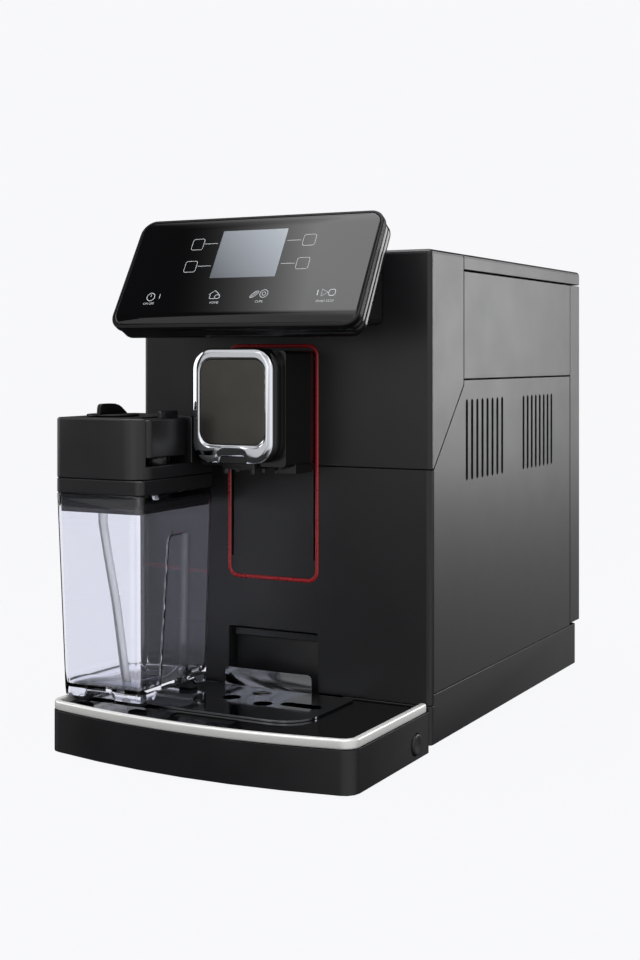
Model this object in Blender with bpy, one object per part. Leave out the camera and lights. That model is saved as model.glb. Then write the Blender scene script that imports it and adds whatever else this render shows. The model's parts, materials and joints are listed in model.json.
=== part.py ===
"""Bean to cup coffee machine with a milk carafe, a tilted touch panel and a height-adjustable spout.

Metres, +Z up, +X to the user's right as they face the machine, -Y towards the user.
The origin is on the table under the middle of the whole machine.
"""
import math

import bmesh
import bpy
from mathutils import Matrix, Vector

# Fits shared by all pieces
clearance = 0.0003
seam = 0.0005
wall = 0.0025
overrun = 0.010

# Rounding
coarse_steps = 3
fine_steps = 5
round_sides = 20
small_sides = 12

# Body in plan
body_width = 0.224
body_depth = 0.308
tray_reach = 0.122
half = body_width / 2
front = (tray_reach - body_depth) / 2
rear = (tray_reach + body_depth) / 2

# Covers along the depth, measured back from the front face
rear_cover_depth = 0.026
rear_seam_depth = body_depth - rear_cover_depth
base_setback = 0.011
base_depth = body_depth - base_setback
wing_depth = 0.055
lower_return = 0.0038
cover_corner = 0.003
rear_corner = 0.003

# Grounds container and the tub that holds it
recess_left = -0.0407
recess_right = 0.0291
recess_top = 0.071
grounds_side_gap = 0.0017
grounds_left = recess_left + grounds_side_gap
grounds_right = recess_right - grounds_side_gap
grounds_setback = 0.008
grounds_depth = 0.141
grounds_head_gap = 0.002
grounds_top = recess_top - grounds_head_gap
grounds_wall = 0.0020
grounds_lip_reach = 0.0025
grounds_lip_height = 0.0050
tub_side_gap = 0.0031
tub_rear_gap = 0.0008
tub_bottom = 0.0086
tub_wall = 0.0022
tub_half = tub_side_gap + tub_wall - recess_left
tub_depth = grounds_setback + grounds_depth + tub_rear_gap + tub_wall
tunnel_gap = 0.0015
tunnel_half = tub_half + tunnel_gap

# Base and feet
foot_height = 0.0055
foot_radius = 0.011
foot_inset_x = 0.020
foot_setback = 0.032
foot_rear_inset = 0.034
base_top = 0.038
front_apron = 0.0072
base_corner = 0.003
base_floor = foot_height + wall + clearance

# Inner frame, upright wall
frame_wall_left = -0.0200
frame_wall_right = frame_wall_left + wall
frame_rear_gap = 0.002
frame_rear = rear_seam_depth - frame_rear_gap
frame_side_gap = 0.0015
frame_tub_gap = 0.003
frame_low_front = tub_depth + frame_tub_gap
deck_thickness = 0.0025
rail_depth = 0.010
rail_height = 0.0024

# Grinder in plan
grinder_x = 0.040
grinder_radius = 0.036
grinder_wall = 0.004
grinder_rear_gap = 0.006
grinder_y = frame_rear - grinder_radius - grinder_rear_gap

# Gears between the gear motor and the brew group
gear_teeth = 30
pinion_teeth = 10
gear_module = 0.00265
gear_radius = gear_module * gear_teeth / 2
pinion_radius = gear_module * pinion_teeth / 2
gear_wall_gap = 0.0007
gear_width = 0.006
gear_frame_gap = 0.0028
gear_left = frame_wall_right + gear_wall_gap
gear_right = gear_left + gear_width
gear_shaft_radius = 0.005
pinion_shaft_radius = 0.003
pinion_shaft_length = 0.012
gear_motor_radius = 0.018
gear_motor_length = 0.046
tooth_tip_share = 0.80
tooth_root_share = 1.10
tooth_tip_half_share = 0.12
tooth_root_half_share = 0.27
gear_phase_share = 0
pinion_phase_share = 0.5

# Brew group
brew_side_gap = 0.014
brew_grinder_gap = 0.012
brew_depth = 0.115
brew_height = 0.128
brew_bottom = 0.1060
brew_wall = 0.0040
brew_left = gear_right + gear_frame_gap
brew_right = half - brew_side_gap
brew_rear = grinder_y - grinder_radius - brew_grinder_gap
brew_front = brew_rear - brew_depth
brew_top = brew_bottom + brew_height
gear_y = (brew_front + brew_rear) / 2
gear_rise = 0.069
gear_height = brew_bottom + gear_rise
pinion_height = gear_height - gear_radius - pinion_radius
chamber_inset = 0.060
chamber_x = brew_left + chamber_inset
chamber_outer = 0.028
chamber_inner = 0.0225
chamber_height = 0.053
chamber_floor = 0.004
piston_gap = 0.0005
piston_radius = chamber_inner - piston_gap
piston_length = 0.028
piston_head_thickness = 0.014
piston_head_drop = 0.016
piston_head_half = 0.020
piston_head_top = brew_top - brew_wall - piston_head_drop
piston_head_bottom = piston_head_top - piston_head_thickness
piston_bottom = piston_head_bottom - piston_length

# Inner frame, deck, shelf and rails
frame_front_margin = 0.015
frame_front = brew_front - frame_front_margin
frame_low = brew_bottom - clearance - rail_height
deck_gap = 0.0035
deck_bottom = brew_top + deck_gap
shelf_gap = 0.006
shelf_bottom = pinion_height + gear_motor_radius + shelf_gap

# Ground coffee chute and grind dial
chute_x = 0.025
chute_half = 0.016
chute_rim = 0.004
chute_wall = 0.0018
chute_gap = 0.003
chute_y = brew_front + brew_wall + chute_gap + chute_half
dial_y = chute_y
dial_radius = 0.015
dial_rise = 0.0028
dial_stem_radius = 0.004
dial_ribs = 12
dial_rib_depth = 0.0012

# Bean hopper
hopper_height = 0.0754
hopper_bottom = deck_bottom + deck_thickness + clearance
hopper_top = hopper_bottom + hopper_height
hopper_rim_height = 0.0197
hopper_shelf_drop = 0.0137
hopper_shelf_bottom = hopper_top - hopper_shelf_drop
hopper_shelf_thickness = 0.003
hopper_shelf_margin = 0.016
hopper_front = chute_y + chute_half + hopper_shelf_margin
hopper_shelf_front = chute_y - chute_half - hopper_shelf_margin
hopper_rear_gap = 0.003
hopper_rear = frame_rear - hopper_rear_gap
hopper_throat_half = 0.020
hopper_wall = 0.0020
hopper_radius = 0.010

# Grinder in height
grinder_height = 0.0492
grinder_bottom = deck_bottom - clearance - grinder_height
burr_radius = 0.024
burr_tip_radius = 0.010
burr_height = 0.030
motor_radius = 0.027
motor_length = 0.0818
motor_shaft_radius = 0.004

# Top cover and its lids
top_cover_thickness = 0.0108
lid_gap_height = hopper_top
body_height = lid_gap_height + seam + top_cover_thickness
top_round = 0.004
lid_thickness = 0.0045
lid_ledge = 0.003
lid_front_margin = 0.008
lid_rear_overlap = 0.002
lid_front = wing_depth + lid_front_margin
lid_rear = rear_seam_depth + lid_rear_overlap
hopper_lid_margin = 0.008
hopper_lid_left = -0.018
hopper_lid_right = half - hopper_lid_margin
lid_grip_radius = 0.011
lid_grip_depth = 0.0015
hopper_left_inset = 0.004
hopper_right_inset = 0.002
hopper_left = hopper_lid_left + hopper_left_inset
hopper_right = hopper_lid_right - hopper_right_inset
dial_inset = 0.022
dial_x = hopper_right - dial_inset

# Water tank
tank_side_gap = 0.0075
tank_frame_gap = 0.0115
tank_front_gap = 0.011
tank_rear_gap = 0.001
tank_lid_gap = 0.0007
tank_left = tank_side_gap - half
tank_right = frame_wall_left - tank_frame_gap
tank_front = wing_depth + tank_front_gap
tank_rear = rear_seam_depth - tank_rear_gap
tank_top = body_height - lid_thickness - tank_lid_gap
tank_wall = 0.0022
tank_radius = 0.010
tank_lid_left = tank_left - seam
tank_lid_right = tank_right + seam
spigot_rear_inset = 0.041
spigot_x = (tank_left + tank_right) / 2
spigot_y = tank_rear - spigot_rear_inset
spigot_radius = 0.0070
spigot_hole_radius = spigot_radius + clearance
spigot_height = 0.010
spigot_below = 0.012

# Covers in height
parting_height = 0.1837
wing_low_height = 0.238
side_split = 0.2413
rear_cover_bottom = 0.0398

# Side vents, two groups placed along the panel
vent_bottom = 0.1726
vent_top = 0.2281
vent_width = 0.0038
vent_count = 8
near_vent_shares = (0.2142, 0.4525)
far_vent_shares = (0.6106, 0.8358)

# Rear vents, the socket and the switch
rear_vent_count = 9
rear_vent_first = 0.215
rear_vent_pitch = 0.009
rear_vent_height = 0.004
rear_vent_half = 0.060
socket_inset = 0.042
socket_x = socket_inset - half
socket_z = 0.085
socket_width = 0.028
socket_height = 0.020
socket_depth = 0.022
socket_wall = 0.0024
socket_flange = 0.003
socket_pin_width = 0.004
socket_pin_thickness = 0.002
socket_pin_spacing = 0.014
switch_width = 0.014
rocker_sink_share = 0.80

# Control panel, in its own tilted frame
panel_tilt = math.radians(30.2)
panel_drop = 0.0482
glass_bottom_reach = 0.0686
glass_bottom_height = body_height - panel_drop
glass_half = 0.0906
glass_height = 0.0813
glass_thickness = 0.0012
glass_radius = 0.0085
bezel_rim = 0.0022
bezel_low_rim = 0.0030
bezel_thickness = 0.0050
housing_inset = 0.0010
housing_thickness = 0.0116
housing_wall = 0.0020
board_thickness = 0.0016
board_side_inset = 0.0206
board_top_inset = 0.0063
board_half = glass_half - board_side_inset
board_bottom = 0.016
board_top = glass_height - board_top_inset
screen_half = 0.0247
screen_low_inset = 0.0186
screen_top_inset = 0.0031
screen_bottom = board_bottom + screen_low_inset
screen_top = board_top - screen_top_inset
screen_thickness = 0.0016
mount_side_inset = 0.0132
mount_half = glass_half - mount_side_inset
mount_drop = 0.001
mount_bottom = glass_bottom_height - mount_drop
mount_round = 0.004

# Red outline on the front
ring_left = -0.0412
ring_right = 0.0298
ring_bottom = 0.1047
ring_head_gap = 0.0131
ring_top = glass_bottom_height - ring_head_gap
ring_line = 0.0026
ring_thickness = 0.0007
ring_radius = 0.0080

# Sliding coffee spout
spout_x = -0.006
spout_half = 0.0302
spout_height = 0.075
spout_ring_gap = 0.0031
spout_top = ring_top - spout_ring_gap
spout_bottom = spout_top - spout_height
spout_radius = 0.014
bezel_front_reach = 0.054
shell_front_reach = 0.0457
shell_rear_reach = 0.038
column_left = ring_left + ring_line + clearance
column_right = ring_right - ring_line - clearance
column_head_gap = 0.0016
column_drop = 0.0026
column_top = spout_top - column_head_gap
column_bottom = spout_bottom - column_drop
column_rear_reach = 0.0015
column_foot_width = 0.0164
column_foot_left = column_right - column_foot_width
column_foot_front_reach = 0.027
column_foot_rear_reach = 0.005
column_foot_height = 0.0050
column_foot_bottom = column_bottom - column_foot_height
plate_side_inset = 0.0053
plate_low_inset = 0.0118
plate_top_inset = 0.0071
plate_half_width = spout_half - plate_side_inset
plate_bottom = spout_bottom + plate_low_inset
plate_top = spout_top - plate_top_inset
plate_radius = 0.009
plate_sink = 0.0006
plate_thickness = 0.0016
notch_half = 0.0100
notch_height = 0.0046
notch_top = spout_bottom + notch_height
grip_reach = 0.0515
nozzle_radius = 0.0021
nozzle_bore = 0.0011
nozzle_bottom = column_foot_bottom
nozzle_bridge = 0.0016
nozzle_tip_share = 0.80
nozzle_half_spacing = 0.010
nozzle_left_x = spout_x - nozzle_half_spacing
nozzle_right_x = spout_x + nozzle_half_spacing
nozzle_front_reach = 0.0435
nozzle_rear_reach = 0.030
spout_travel = 0.070
fin_width = 0.0010
fin_low_inset = 0.0024
fin_top_inset = 0.0076
fin_bottom = spout_bottom + fin_low_inset
fin_top = spout_top - fin_top_inset
fin_foot = 0.0040
fin_foot_thickness = 0.0015

# Drip tray
tray_side_inset = 0.0015
tray_half = half - tray_side_inset
tray_bow = 0.011
tray_bottom = 0.0013
tray_wall_top = 0.0277
tray_gap = 0.0008
tray_corner = 0.010
tray_wall = 0.0055
tray_floor = 0.0020
tray_bow_steps = 6
trim_height = 0.0060
trim_bottom = tray_wall_top + clearance
trim_top = trim_bottom + trim_height
trim_width = 0.0042
trim_end_gap = 0.0024
tray_cover_thickness = 0.0022
tray_cover_top = trim_bottom + tray_cover_thickness
cup_plate_inset = 0.0065
cup_plate_left = cup_plate_inset - tray_half
cup_plate_right = 0.060
cup_plate_reach = 0.081
cup_plate_back = 0.006
cup_plate_bottom = tray_cover_top + clearance
cup_plate_thickness = 0.0012
cup_plate_radius = 0.022
lip_side_gap = 0.0012
lip_left = recess_left + lip_side_gap
lip_right = recess_right - lip_side_gap
lip_height = 0.0133
lip_top = cup_plate_bottom + lip_height
lip_thickness = 0.0010
lip_corner = 0.003
drain_inset = 0.012
cup_slot_left = 0.0225
cup_slot_length = 0.031
cup_slot_width = 0.011
cup_slot_reach = 0.0387
cup_hole_radius = 0.0065
cup_hole_left_x = -0.015
cup_hole_left_reach = 0.039
cup_hole_rear_x = -0.003
cup_hole_rear_reach = 0.020
cup_hole_gap = 0.0035
cup_hole_right_x = cup_slot_left - cup_hole_gap - cup_hole_radius
cup_hole_right_reach = 0.045
float_left = -0.027
float_right = 0.018
float_front_reach = 0.0960
float_rear_reach = 0.0850
float_rise = 0.0012
float_top = trim_bottom + float_rise
release_reach = 0.020
release_height = 0.011
release_radius = 0.0069
release_hole_gap = 0.0006
release_hole_radius = release_radius + release_hole_gap
release_flange_radius = release_hole_radius - clearance / 3
release_flange_thickness = 0.0020
release_proud = 0.0013

# Milk carafe
jug_overhang = 0.0015
jug_taper_side = 0.003
jug_taper_front = 0.005
jug_taper_rear = 0.003
jug_spout_gap = 0.0068
jug_front_reach = 0.103
jug_rear_reach = 0.015
jug_top_left = -tray_half - jug_overhang
jug_top_right = spout_x - spout_half - jug_spout_gap
jug_bottom_left = jug_top_left + jug_taper_side
jug_bottom_right = jug_top_right - jug_taper_side
jug_bottom_front = jug_front_reach - jug_taper_front
jug_bottom_rear = jug_rear_reach + jug_taper_rear
jug_foot_height = 0.0031
jug_foot_bottom = cup_plate_bottom + cup_plate_thickness + clearance
jug_bottom = jug_foot_bottom + jug_foot_height + clearance
jug_height = 0.1326
jug_top = jug_bottom + jug_height
jug_wall = 0.0020
jug_floor = 0.0050
jug_radius = 0.0055
jug_foot_inset = 0.004
collar_height = 0.0098
collar_skirt = 0.0120
collar_top = jug_top + collar_height
collar_skirt_bottom = jug_top - collar_skirt
collar_wall = 0.0020
jug_lid_height = 0.0394
jug_lid_bottom = collar_top + clearance
jug_lid_top = jug_lid_bottom + jug_lid_height
jug_lid_wall = 0.0025
jug_lid_front_round = 0.014
arm_width = 0.0167
arm_right = jug_top_right - clearance
arm_left = arm_right - arm_width
arm_front_reach = 0.0940
arm_rear_reach = 0.0450
arm_gap = 0.0010
arm_ledge_drop = 0.0310
arm_ledge_height = jug_lid_top - arm_ledge_drop
arm_top = jug_lid_top - arm_gap
arm_height = 0.0245
arm_bottom = arm_top - arm_height
arm_stem_radius = 0.0030
arm_nozzle_radius = 0.0078
arm_nozzle_reach = 0.0745
arm_nozzle_bottom = arm_ledge_height + clearance
arm_tab_front_reach = 0.070
arm_tab_rear_reach = 0.047
arm_tab_height = 0.0050
arm_tab_thickness = 0.0030
knob_place_share = 0.38
knob_x = jug_top_left + (jug_top_right - jug_top_left) * knob_place_share
knob_reach = 0.0735
knob_radius = 0.0175
knob_disc_height = 0.0020
knob_fin_height = 0.0087
knob_disc_top = jug_lid_top + knob_disc_height
knob_fin_top = jug_lid_top + knob_fin_height
knob_fin_thickness = 0.0032
knob_fin_front_slope = 0.002
knob_fin_rear_slope = 0.006
knob_fin_inset = 0.0007
tube_radius = 0.0035
tube_place_shares = (0.306, 0.478, 0.612)
tube_bend_height_share = 0.484
tube_reach = 0.080
tube_floor_gap = 0.0008
port_x = (jug_top_left + jug_top_right) / 2
port_rise = 0.0219
port_z = jug_lid_bottom + port_rise
port_radius = 0.009
port_stem_radius = 0.0070
port_bore = 0.0025
port_inner_length = 0.012

# Water and power parts on the base
boiler_side_gap = 0.0065
boiler_tub_gap = 0.005
boiler_radius = (half - wall - boiler_side_gap - tub_half - boiler_tub_gap) / 2
boiler_x = boiler_side_gap + wall + boiler_radius - half
boiler_y = 0.047
boiler_head_gap = 0.002
boiler_top = pinion_height - gear_motor_radius - boiler_head_gap
boiler_dome = 0.010
pump_side_gap = 0.0115
pump_radius = 0.020
pump_x = pump_side_gap + wall + pump_radius - half
pump_front = 0.092
pump_length = 0.095
pump_neck_radius = 0.009
pump_neck_length = 0.012
board_left = -0.012
board_side_gap = 0.020
board_right = half - board_side_gap
board_seam_gap = 0.0025
power_board_y = rear_seam_depth + board_seam_gap
power_board_top = 0.135

# Finishes: colour, metallic, roughness, alpha
finishes = {
    "satin_black": ((0.012, 0.012, 0.013), 0.0, 0.38, 1.0),
    "gloss_black": ((0.006, 0.006, 0.007), 0.0, 0.08, 1.0),
    "chrome": ((0.85, 0.86, 0.88), 1.0, 0.06, 1.0),
    "satin_silver": ((0.72, 0.72, 0.73), 1.0, 0.28, 1.0),
    "steel": ((0.60, 0.60, 0.61), 1.0, 0.18, 1.0),
    "red_line": ((0.28, 0.008, 0.010), 0.0, 0.30, 1.0),
    "bronze_plate": ((0.045, 0.042, 0.038), 0.6, 0.30, 1.0),
    "clear_plastic": ((0.62, 0.66, 0.74), 0.0, 0.06, 0.35),
    "smoke_plastic": ((0.10, 0.10, 0.11), 0.0, 0.10, 0.5),
    "white_plastic": ((0.75, 0.75, 0.74), 0.0, 0.40, 1.0),
    "grey_plastic": ((0.20, 0.20, 0.21), 0.0, 0.50, 1.0),
    "screen": ((0.30, 0.31, 0.33), 0.0, 0.20, 1.0),
    "board_green": ((0.02, 0.16, 0.07), 0.0, 0.45, 1.0),
    "rubber": ((0.015, 0.015, 0.015), 0.0, 0.85, 1.0),
    "bare_aluminium": ((0.65, 0.66, 0.68), 1.0, 0.35, 1.0),
    "red_plastic": ((0.55, 0.02, 0.02), 0.0, 0.35, 1.0),
}


# Basic tools

def back(distance):
    """Y at a distance behind the body's front face."""
    return front + distance


def ahead(distance):
    """Y at a distance in front of the body's front face."""
    return front - distance


def wipe_scene():
    for item in list(bpy.data.objects):
        bpy.data.objects.remove(item, do_unlink=True)


def paint(obj, finish):
    """Give the object its own Principled material."""
    colour, metallic, roughness, alpha = finishes[finish]
    material = bpy.data.materials.new(obj.name + "_finish")
    material.use_nodes = True
    shader = material.node_tree.nodes["Principled BSDF"]
    shader.inputs["Base Color"].default_value = (*colour, 1.0)
    shader.inputs["Metallic"].default_value = metallic
    shader.inputs["Roughness"].default_value = roughness
    shader.inputs["Alpha"].default_value = alpha
    material.diffuse_color = (*colour, alpha)
    obj.data.materials.append(material)


def place(name, bm, finish=None, smooth=True):
    """Turn a bmesh into an object. Without a finish it is a guide for a Boolean."""
    bmesh.ops.recalc_face_normals(bm, faces=bm.faces[:])
    mesh = bpy.data.meshes.new(name)
    bm.to_mesh(mesh)
    bm.free()
    obj = bpy.data.objects.new(name, mesh)
    bpy.context.scene.collection.objects.link(obj)
    if smooth:
        mesh.shade_smooth()
        mesh.set_sharp_from_angle(angle=math.radians(35))
    if finish:
        paint(obj, finish)
    else:
        obj.hide_render = True
        obj.display_type = "WIRE"
    return obj


def boolean(obj, tool, operation):
    modifier = obj.modifiers.new(operation.lower() + "_" + tool.name, "BOOLEAN")
    modifier.operation = operation
    modifier.object = tool
    modifier.solver = "EXACT"
    return obj


def cut(obj, *tools):
    for tool in tools:
        boolean(obj, tool, "DIFFERENCE")
    return obj


def join(obj, *tools):
    for tool in tools:
        boolean(obj, tool, "UNION")
    return obj


def point_on(axis, a, b, height):
    """A point from two outline coordinates and the coordinate along the axis."""
    if axis == "X":
        return Vector((height, a, b))
    if axis == "Y":
        return Vector((a, height, b))
    return Vector((a, b, height))


def loft(name, sections, axis="Z", finish=None, smooth=True):
    """Skin between outlines with equal point counts, closed by a cap at each end."""
    bm = bmesh.new()
    rings = []
    for outline, height in sections:
        rings.append([bm.verts.new(point_on(axis, a, b, height)) for a, b in outline])
    count = len(rings[0])
    for lower, upper in zip(rings, rings[1:]):
        for i in range(count):
            j = (i + 1) % count
            bm.faces.new((lower[i], lower[j], upper[j], upper[i]))
    bm.faces.new(rings[0][::-1])
    bm.faces.new(rings[-1])
    return place(name, bm, finish, smooth)


def prism(name, outline, axis, low, high, finish=None, smooth=True):
    return loft(name, [(outline, low), (outline, high)], axis, finish, smooth)


def block(name, low, high, finish=None):
    """A box between two corners."""
    outline = [(low[0], low[1]), (high[0], low[1]), (high[0], high[1]), (low[0], high[1])]
    return prism(name, outline, "Z", low[2], high[2], finish, smooth=False)


def arc(centre, radius, start_deg, end_deg, steps):
    points = []
    for i in range(steps + 1):
        angle = math.radians(start_deg + (end_deg - start_deg) * i / steps)
        points.append((centre[0] + radius * math.cos(angle), centre[1] + radius * math.sin(angle)))
    return points


def rounded(low_a, low_b, high_a, high_b, radius, steps=coarse_steps):
    """A rectangle with round corners. The radius may be one value or four, anticlockwise
    from the low corner; a corner of zero radius is one point."""
    radii = radius if isinstance(radius, tuple) else (radius,) * 4
    corners = ((low_a, low_b, 1, 1, 180), (high_a, low_b, -1, 1, 270),
               (high_a, high_b, -1, -1, 0), (low_a, high_b, 1, -1, 90))
    points = []
    for (a, b, side_a, side_b, start), r in zip(corners, radii):
        if r == 0:
            points.append((a, b))
        else:
            centre = (a + side_a * r, b + side_b * r)
            points.extend(arc(centre, r, start, start + 90, steps))
    return points


def slot_outline(low_a, low_b, high_a, high_b):
    """A slot with fully round ends, along the longer side of its box."""
    steps = small_sides // coarse_steps
    if high_b - low_b > high_a - low_a:
        r = (high_a - low_a) / 2
        return (arc((low_a + r, low_b + r), r, 180, 360, steps)
                + arc((low_a + r, high_b - r), r, 0, 180, steps))
    r = (high_b - low_b) / 2
    return arc((low_a + r, low_b + r), r, 90, 270, steps) + arc((high_a - r, low_b + r), r, -90, 90, steps)


def circle(centre, radius, sides):
    return arc(centre, radius, 0, 360 - 360 / sides, sides - 1)


def turned(name, profile, centre, axis="Z", sides=round_sides, finish=None):
    """A stack of circles: profile is (radius, height) from low to high."""
    sections = [(circle(centre, radius, sides), height) for radius, height in profile]
    return loft(name, sections, axis, finish)


def soften(obj, edges_wanted, width, steps=2):
    """Round the edges of a mesh that a test picks by their two ends."""
    bm = bmesh.new()
    bm.from_mesh(obj.data)
    edges = [e for e in bm.edges if edges_wanted(e.verts[0].co, e.verts[1].co)]
    bmesh.ops.bevel(bm, geom=edges, offset=width, offset_type="OFFSET", segments=steps,
                    profile=0.5, affect="EDGES", clamp_overlap=True)
    bm.to_mesh(obj.data)
    bm.free()
    obj.data.set_sharp_from_angle(angle=math.radians(35))
    return obj


def near(value, target):
    return abs(value - target) < clearance / 10


def pivot(name, location):
    """An empty on a joint's axis, which the moving pieces hang on."""
    empty = bpy.data.objects.new(name, None)
    empty.location = location
    bpy.context.scene.collection.objects.link(empty)
    return empty


def carry(empty, *pieces):
    for piece in pieces:
        piece.parent = empty
        piece.matrix_parent_inverse = Matrix.Translation(-empty.location)


# Housing

def make_feet():
    places = {
        "foot_front_left": (-half + foot_inset_x, back(foot_setback)),
        "foot_front_right": (half - foot_inset_x, back(foot_setback)),
        "foot_rear_left": (-half + foot_inset_x, back(base_depth - foot_rear_inset)),
        "foot_rear_right": (half - foot_inset_x, back(base_depth - foot_rear_inset)),
    }
    for name, centre in places.items():
        profile = [(foot_radius - foot_height / 4, 0), (foot_radius, foot_height / 3),
                   (foot_radius, foot_height - clearance)]
        turned(name, profile, centre, finish="rubber", sides=small_sides)


def make_base():
    outline = rounded(-half, front, half, back(base_depth), base_corner)
    base = prism("base_chassis", outline, "Z", foot_height, base_top, "satin_black")
    inner = rounded(-half + wall, back(wall), half - wall, back(base_depth - wall), base_corner - wall)
    hollow = prism("base_hollow", inner, "Z", foot_height + wall, base_top + overrun)
    tunnel = block("base_tunnel", (-tunnel_half, ahead(overrun), foot_height + wall),
                   (tunnel_half, back(wall + overrun), base_top + overrun))
    step = block("base_step", (-half - overrun, ahead(overrun), base_top - front_apron),
                 (half + overrun, back(lower_return + seam), base_top + overrun))
    return cut(base, hollow, tunnel, step)


def slot_pair():
    """Two thin upright slots that the spout's guide fins run in."""
    slots = []
    low = fin_bottom - spout_travel - clearance
    for side, edge in (("left", column_left), ("right", column_right - fin_width)):
        slots.append(block("spout_slot_" + side, (edge - clearance, ahead(overrun), low),
                           (edge + fin_width + clearance, back(overrun), fin_top + clearance)))
    return slots


def make_front(slots):
    low = base_top - front_apron + seam
    high = parting_height - seam / 2
    corner = lower_return - clearance
    outline = rounded(-half, front, half, back(lower_return), (corner, corner, 0, 0))
    lower = prism("front_panel_lower", outline, "Z", low, high, "satin_black")
    pocket = block("front_pocket", (-half + wall, back(wall), low - overrun),
                   (half - wall, back(lower_return + overrun), high + overrun))
    opening = prism("drawer_opening",
                    rounded(recess_left, low - overrun, recess_right, recess_top, wall / 2),
                    "Y", ahead(overrun), back(overrun))
    cut(lower, pocket, opening, *slots)

    low = parting_height + seam / 2
    outline = rounded(-half, front, half, back(wing_depth), (cover_corner, cover_corner, 0, 0), fine_steps)
    upper = prism("front_cover_upper", outline, "Z", low, body_height, "satin_black")

    def top_edge(a, b):
        on_top = near(a.z, body_height) and near(b.z, body_height)
        return on_top and not (near(a.y, back(wing_depth)) and near(b.y, back(wing_depth)))

    soften(upper, top_edge, top_round, coarse_steps)
    hollow = block("cover_hollow", (-half + wall, back(wall), low - overrun),
                   (half - wall, back(wing_depth + overrun), body_height - wall))
    edge = [(back(lower_return), low), (back(wing_depth), wing_low_height),
            (back(wing_depth + overrun), wing_low_height), (back(wing_depth + overrun), low - overrun),
            (back(lower_return), low - overrun)]
    slope = prism("wing_slope", edge, "X", -half - overrun, half + overrun)
    port_hole = turned("port_hole", [(port_stem_radius + clearance, ahead(overrun)),
                                     (port_stem_radius + clearance, back(overrun))],
                       (port_x, port_z), "Y", small_sides)
    cut(upper, hollow, slope, port_hole, *slots)


def make_ring():
    outer = rounded(ring_left, ring_bottom, ring_right, ring_top, ring_radius, fine_steps)
    low = ahead(clearance + ring_thickness)
    ring = prism("ring_trim", outer, "Y", low, ahead(clearance), "red_line")
    inner = rounded(ring_left + ring_line, ring_bottom + ring_line, ring_right - ring_line,
                    ring_top - ring_line, ring_radius - ring_line, fine_steps)
    cut(ring, prism("ring_inner", inner, "Y", low - overrun, back(overrun)))


def vent_cutters(side):
    """Upright slots with round ends, in two groups, through one side."""
    tools = []
    for group, shares in (("near", near_vent_shares), ("far", far_vent_shares)):
        first, last = (share * rear_seam_depth for share in shares)
        bm = bmesh.new()
        for i in range(vent_count):
            middle = first + (last - first) * i / (vent_count - 1)
            outline = slot_outline(back(middle - vent_width / 2), vent_bottom,
                                   back(middle + vent_width / 2), vent_top)
            rings = []
            for x in (half - wall - overrun, half + overrun):
                rings.append([bm.verts.new((side * x, a, b)) for a, b in outline])
            count = len(outline)
            for k in range(count):
                j = (k + 1) % count
                bm.faces.new((rings[0][k], rings[0][j], rings[1][j], rings[1][k]))
            bm.faces.new(rings[0][::-1])
            bm.faces.new(rings[1])
        tools.append(place("vents_" + group + ("_right" if side > 0 else "_left"), bm))
    return tools


def side_panel(name, side, low, high, first, last, hinged):
    """An upright side plate. A hinged one has a half-round rear edge about its axis."""
    inner = half - wall
    if hinged:
        axis = (half - wall / 2, back(last) - wall / 2)
        outline = [(inner, back(first)), (half, back(first))] + arc(axis, wall / 2, 0, 180, fine_steps)
    else:
        outline = [(inner, back(first)), (half, back(first)), (half, back(last)), (inner, back(last))]
    outline = [(side * a, b) for a, b in outline]
    return prism(name, outline, "Z", low, high, "satin_black", smooth=hinged)


def wing_notch(name, side):
    """What the front cover's slanting wing takes off a lower side panel."""
    start, end = back(lower_return + seam), back(wing_depth + seam)
    low, high = parting_height - seam / 2, wing_low_height - seam
    slope = (high - low) / (end - start)
    edge = [(start - overrun, low - slope * overrun), (end, high), (end, side_split + overrun),
            (start - overrun, side_split + overrun)]
    ends = sorted((side * (half - wall - overrun), side * (half + overrun)))
    return prism(name, edge, "X", *ends)


def make_sides():
    first = lower_return + seam
    upper_first = wing_depth + seam
    last = rear_seam_depth
    for name, side in (("side_panel_upper_left", -1), ("side_panel_upper_right", 1)):
        side_panel(name, side, side_split + seam, lid_gap_height - seam, upper_first, last, False)
    low = base_top + seam
    high = side_split - seam / 2
    left = side_panel("side_panel_lower_left", -1, low, high, first, last, False)
    cut(left, *vent_cutters(-1), wing_notch("wing_notch_left", -1))
    door = side_panel("service_door", 1, low, high, first, last, True)
    cut(door, *vent_cutters(1), wing_notch("wing_notch_right", 1))
    axis = pivot("service_door_axis", (half - wall / 2, back(last) - wall / 2, (low + high) / 2))
    carry(axis, door)


def make_rear():
    low = rear_cover_bottom
    high = lid_gap_height - seam
    first = back(rear_seam_depth + seam)
    outline = rounded(-half, first, half, rear, (0, 0, rear_corner, rear_corner), fine_steps)
    cover = prism("rear_cover", outline, "Z", low, high, "satin_black")
    inner = rounded(-half + wall, first - overrun, half - wall, rear - wall,
                    (0, 0, rear_corner - wall, rear_corner - wall), fine_steps)
    tools = [prism("rear_hollow", inner, "Z", low + wall, high + overrun)]
    for i in range(rear_vent_count):
        z = rear_vent_first + i * rear_vent_pitch
        tools.append(block(f"rear_vent_{i}", (-rear_vent_half, rear - wall - overrun, z),
                           (rear_vent_half, rear + overrun, z + rear_vent_height)))
    left = socket_x - socket_width / 2 - clearance
    right = socket_x + socket_width / 2 + switch_width + clearance
    reach = socket_height / 2 + clearance
    tools.append(block("module_hole", (left, rear - wall - overrun, socket_z - reach),
                       (right, rear + overrun, socket_z + reach)))
    cut(cover, *tools)


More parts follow.
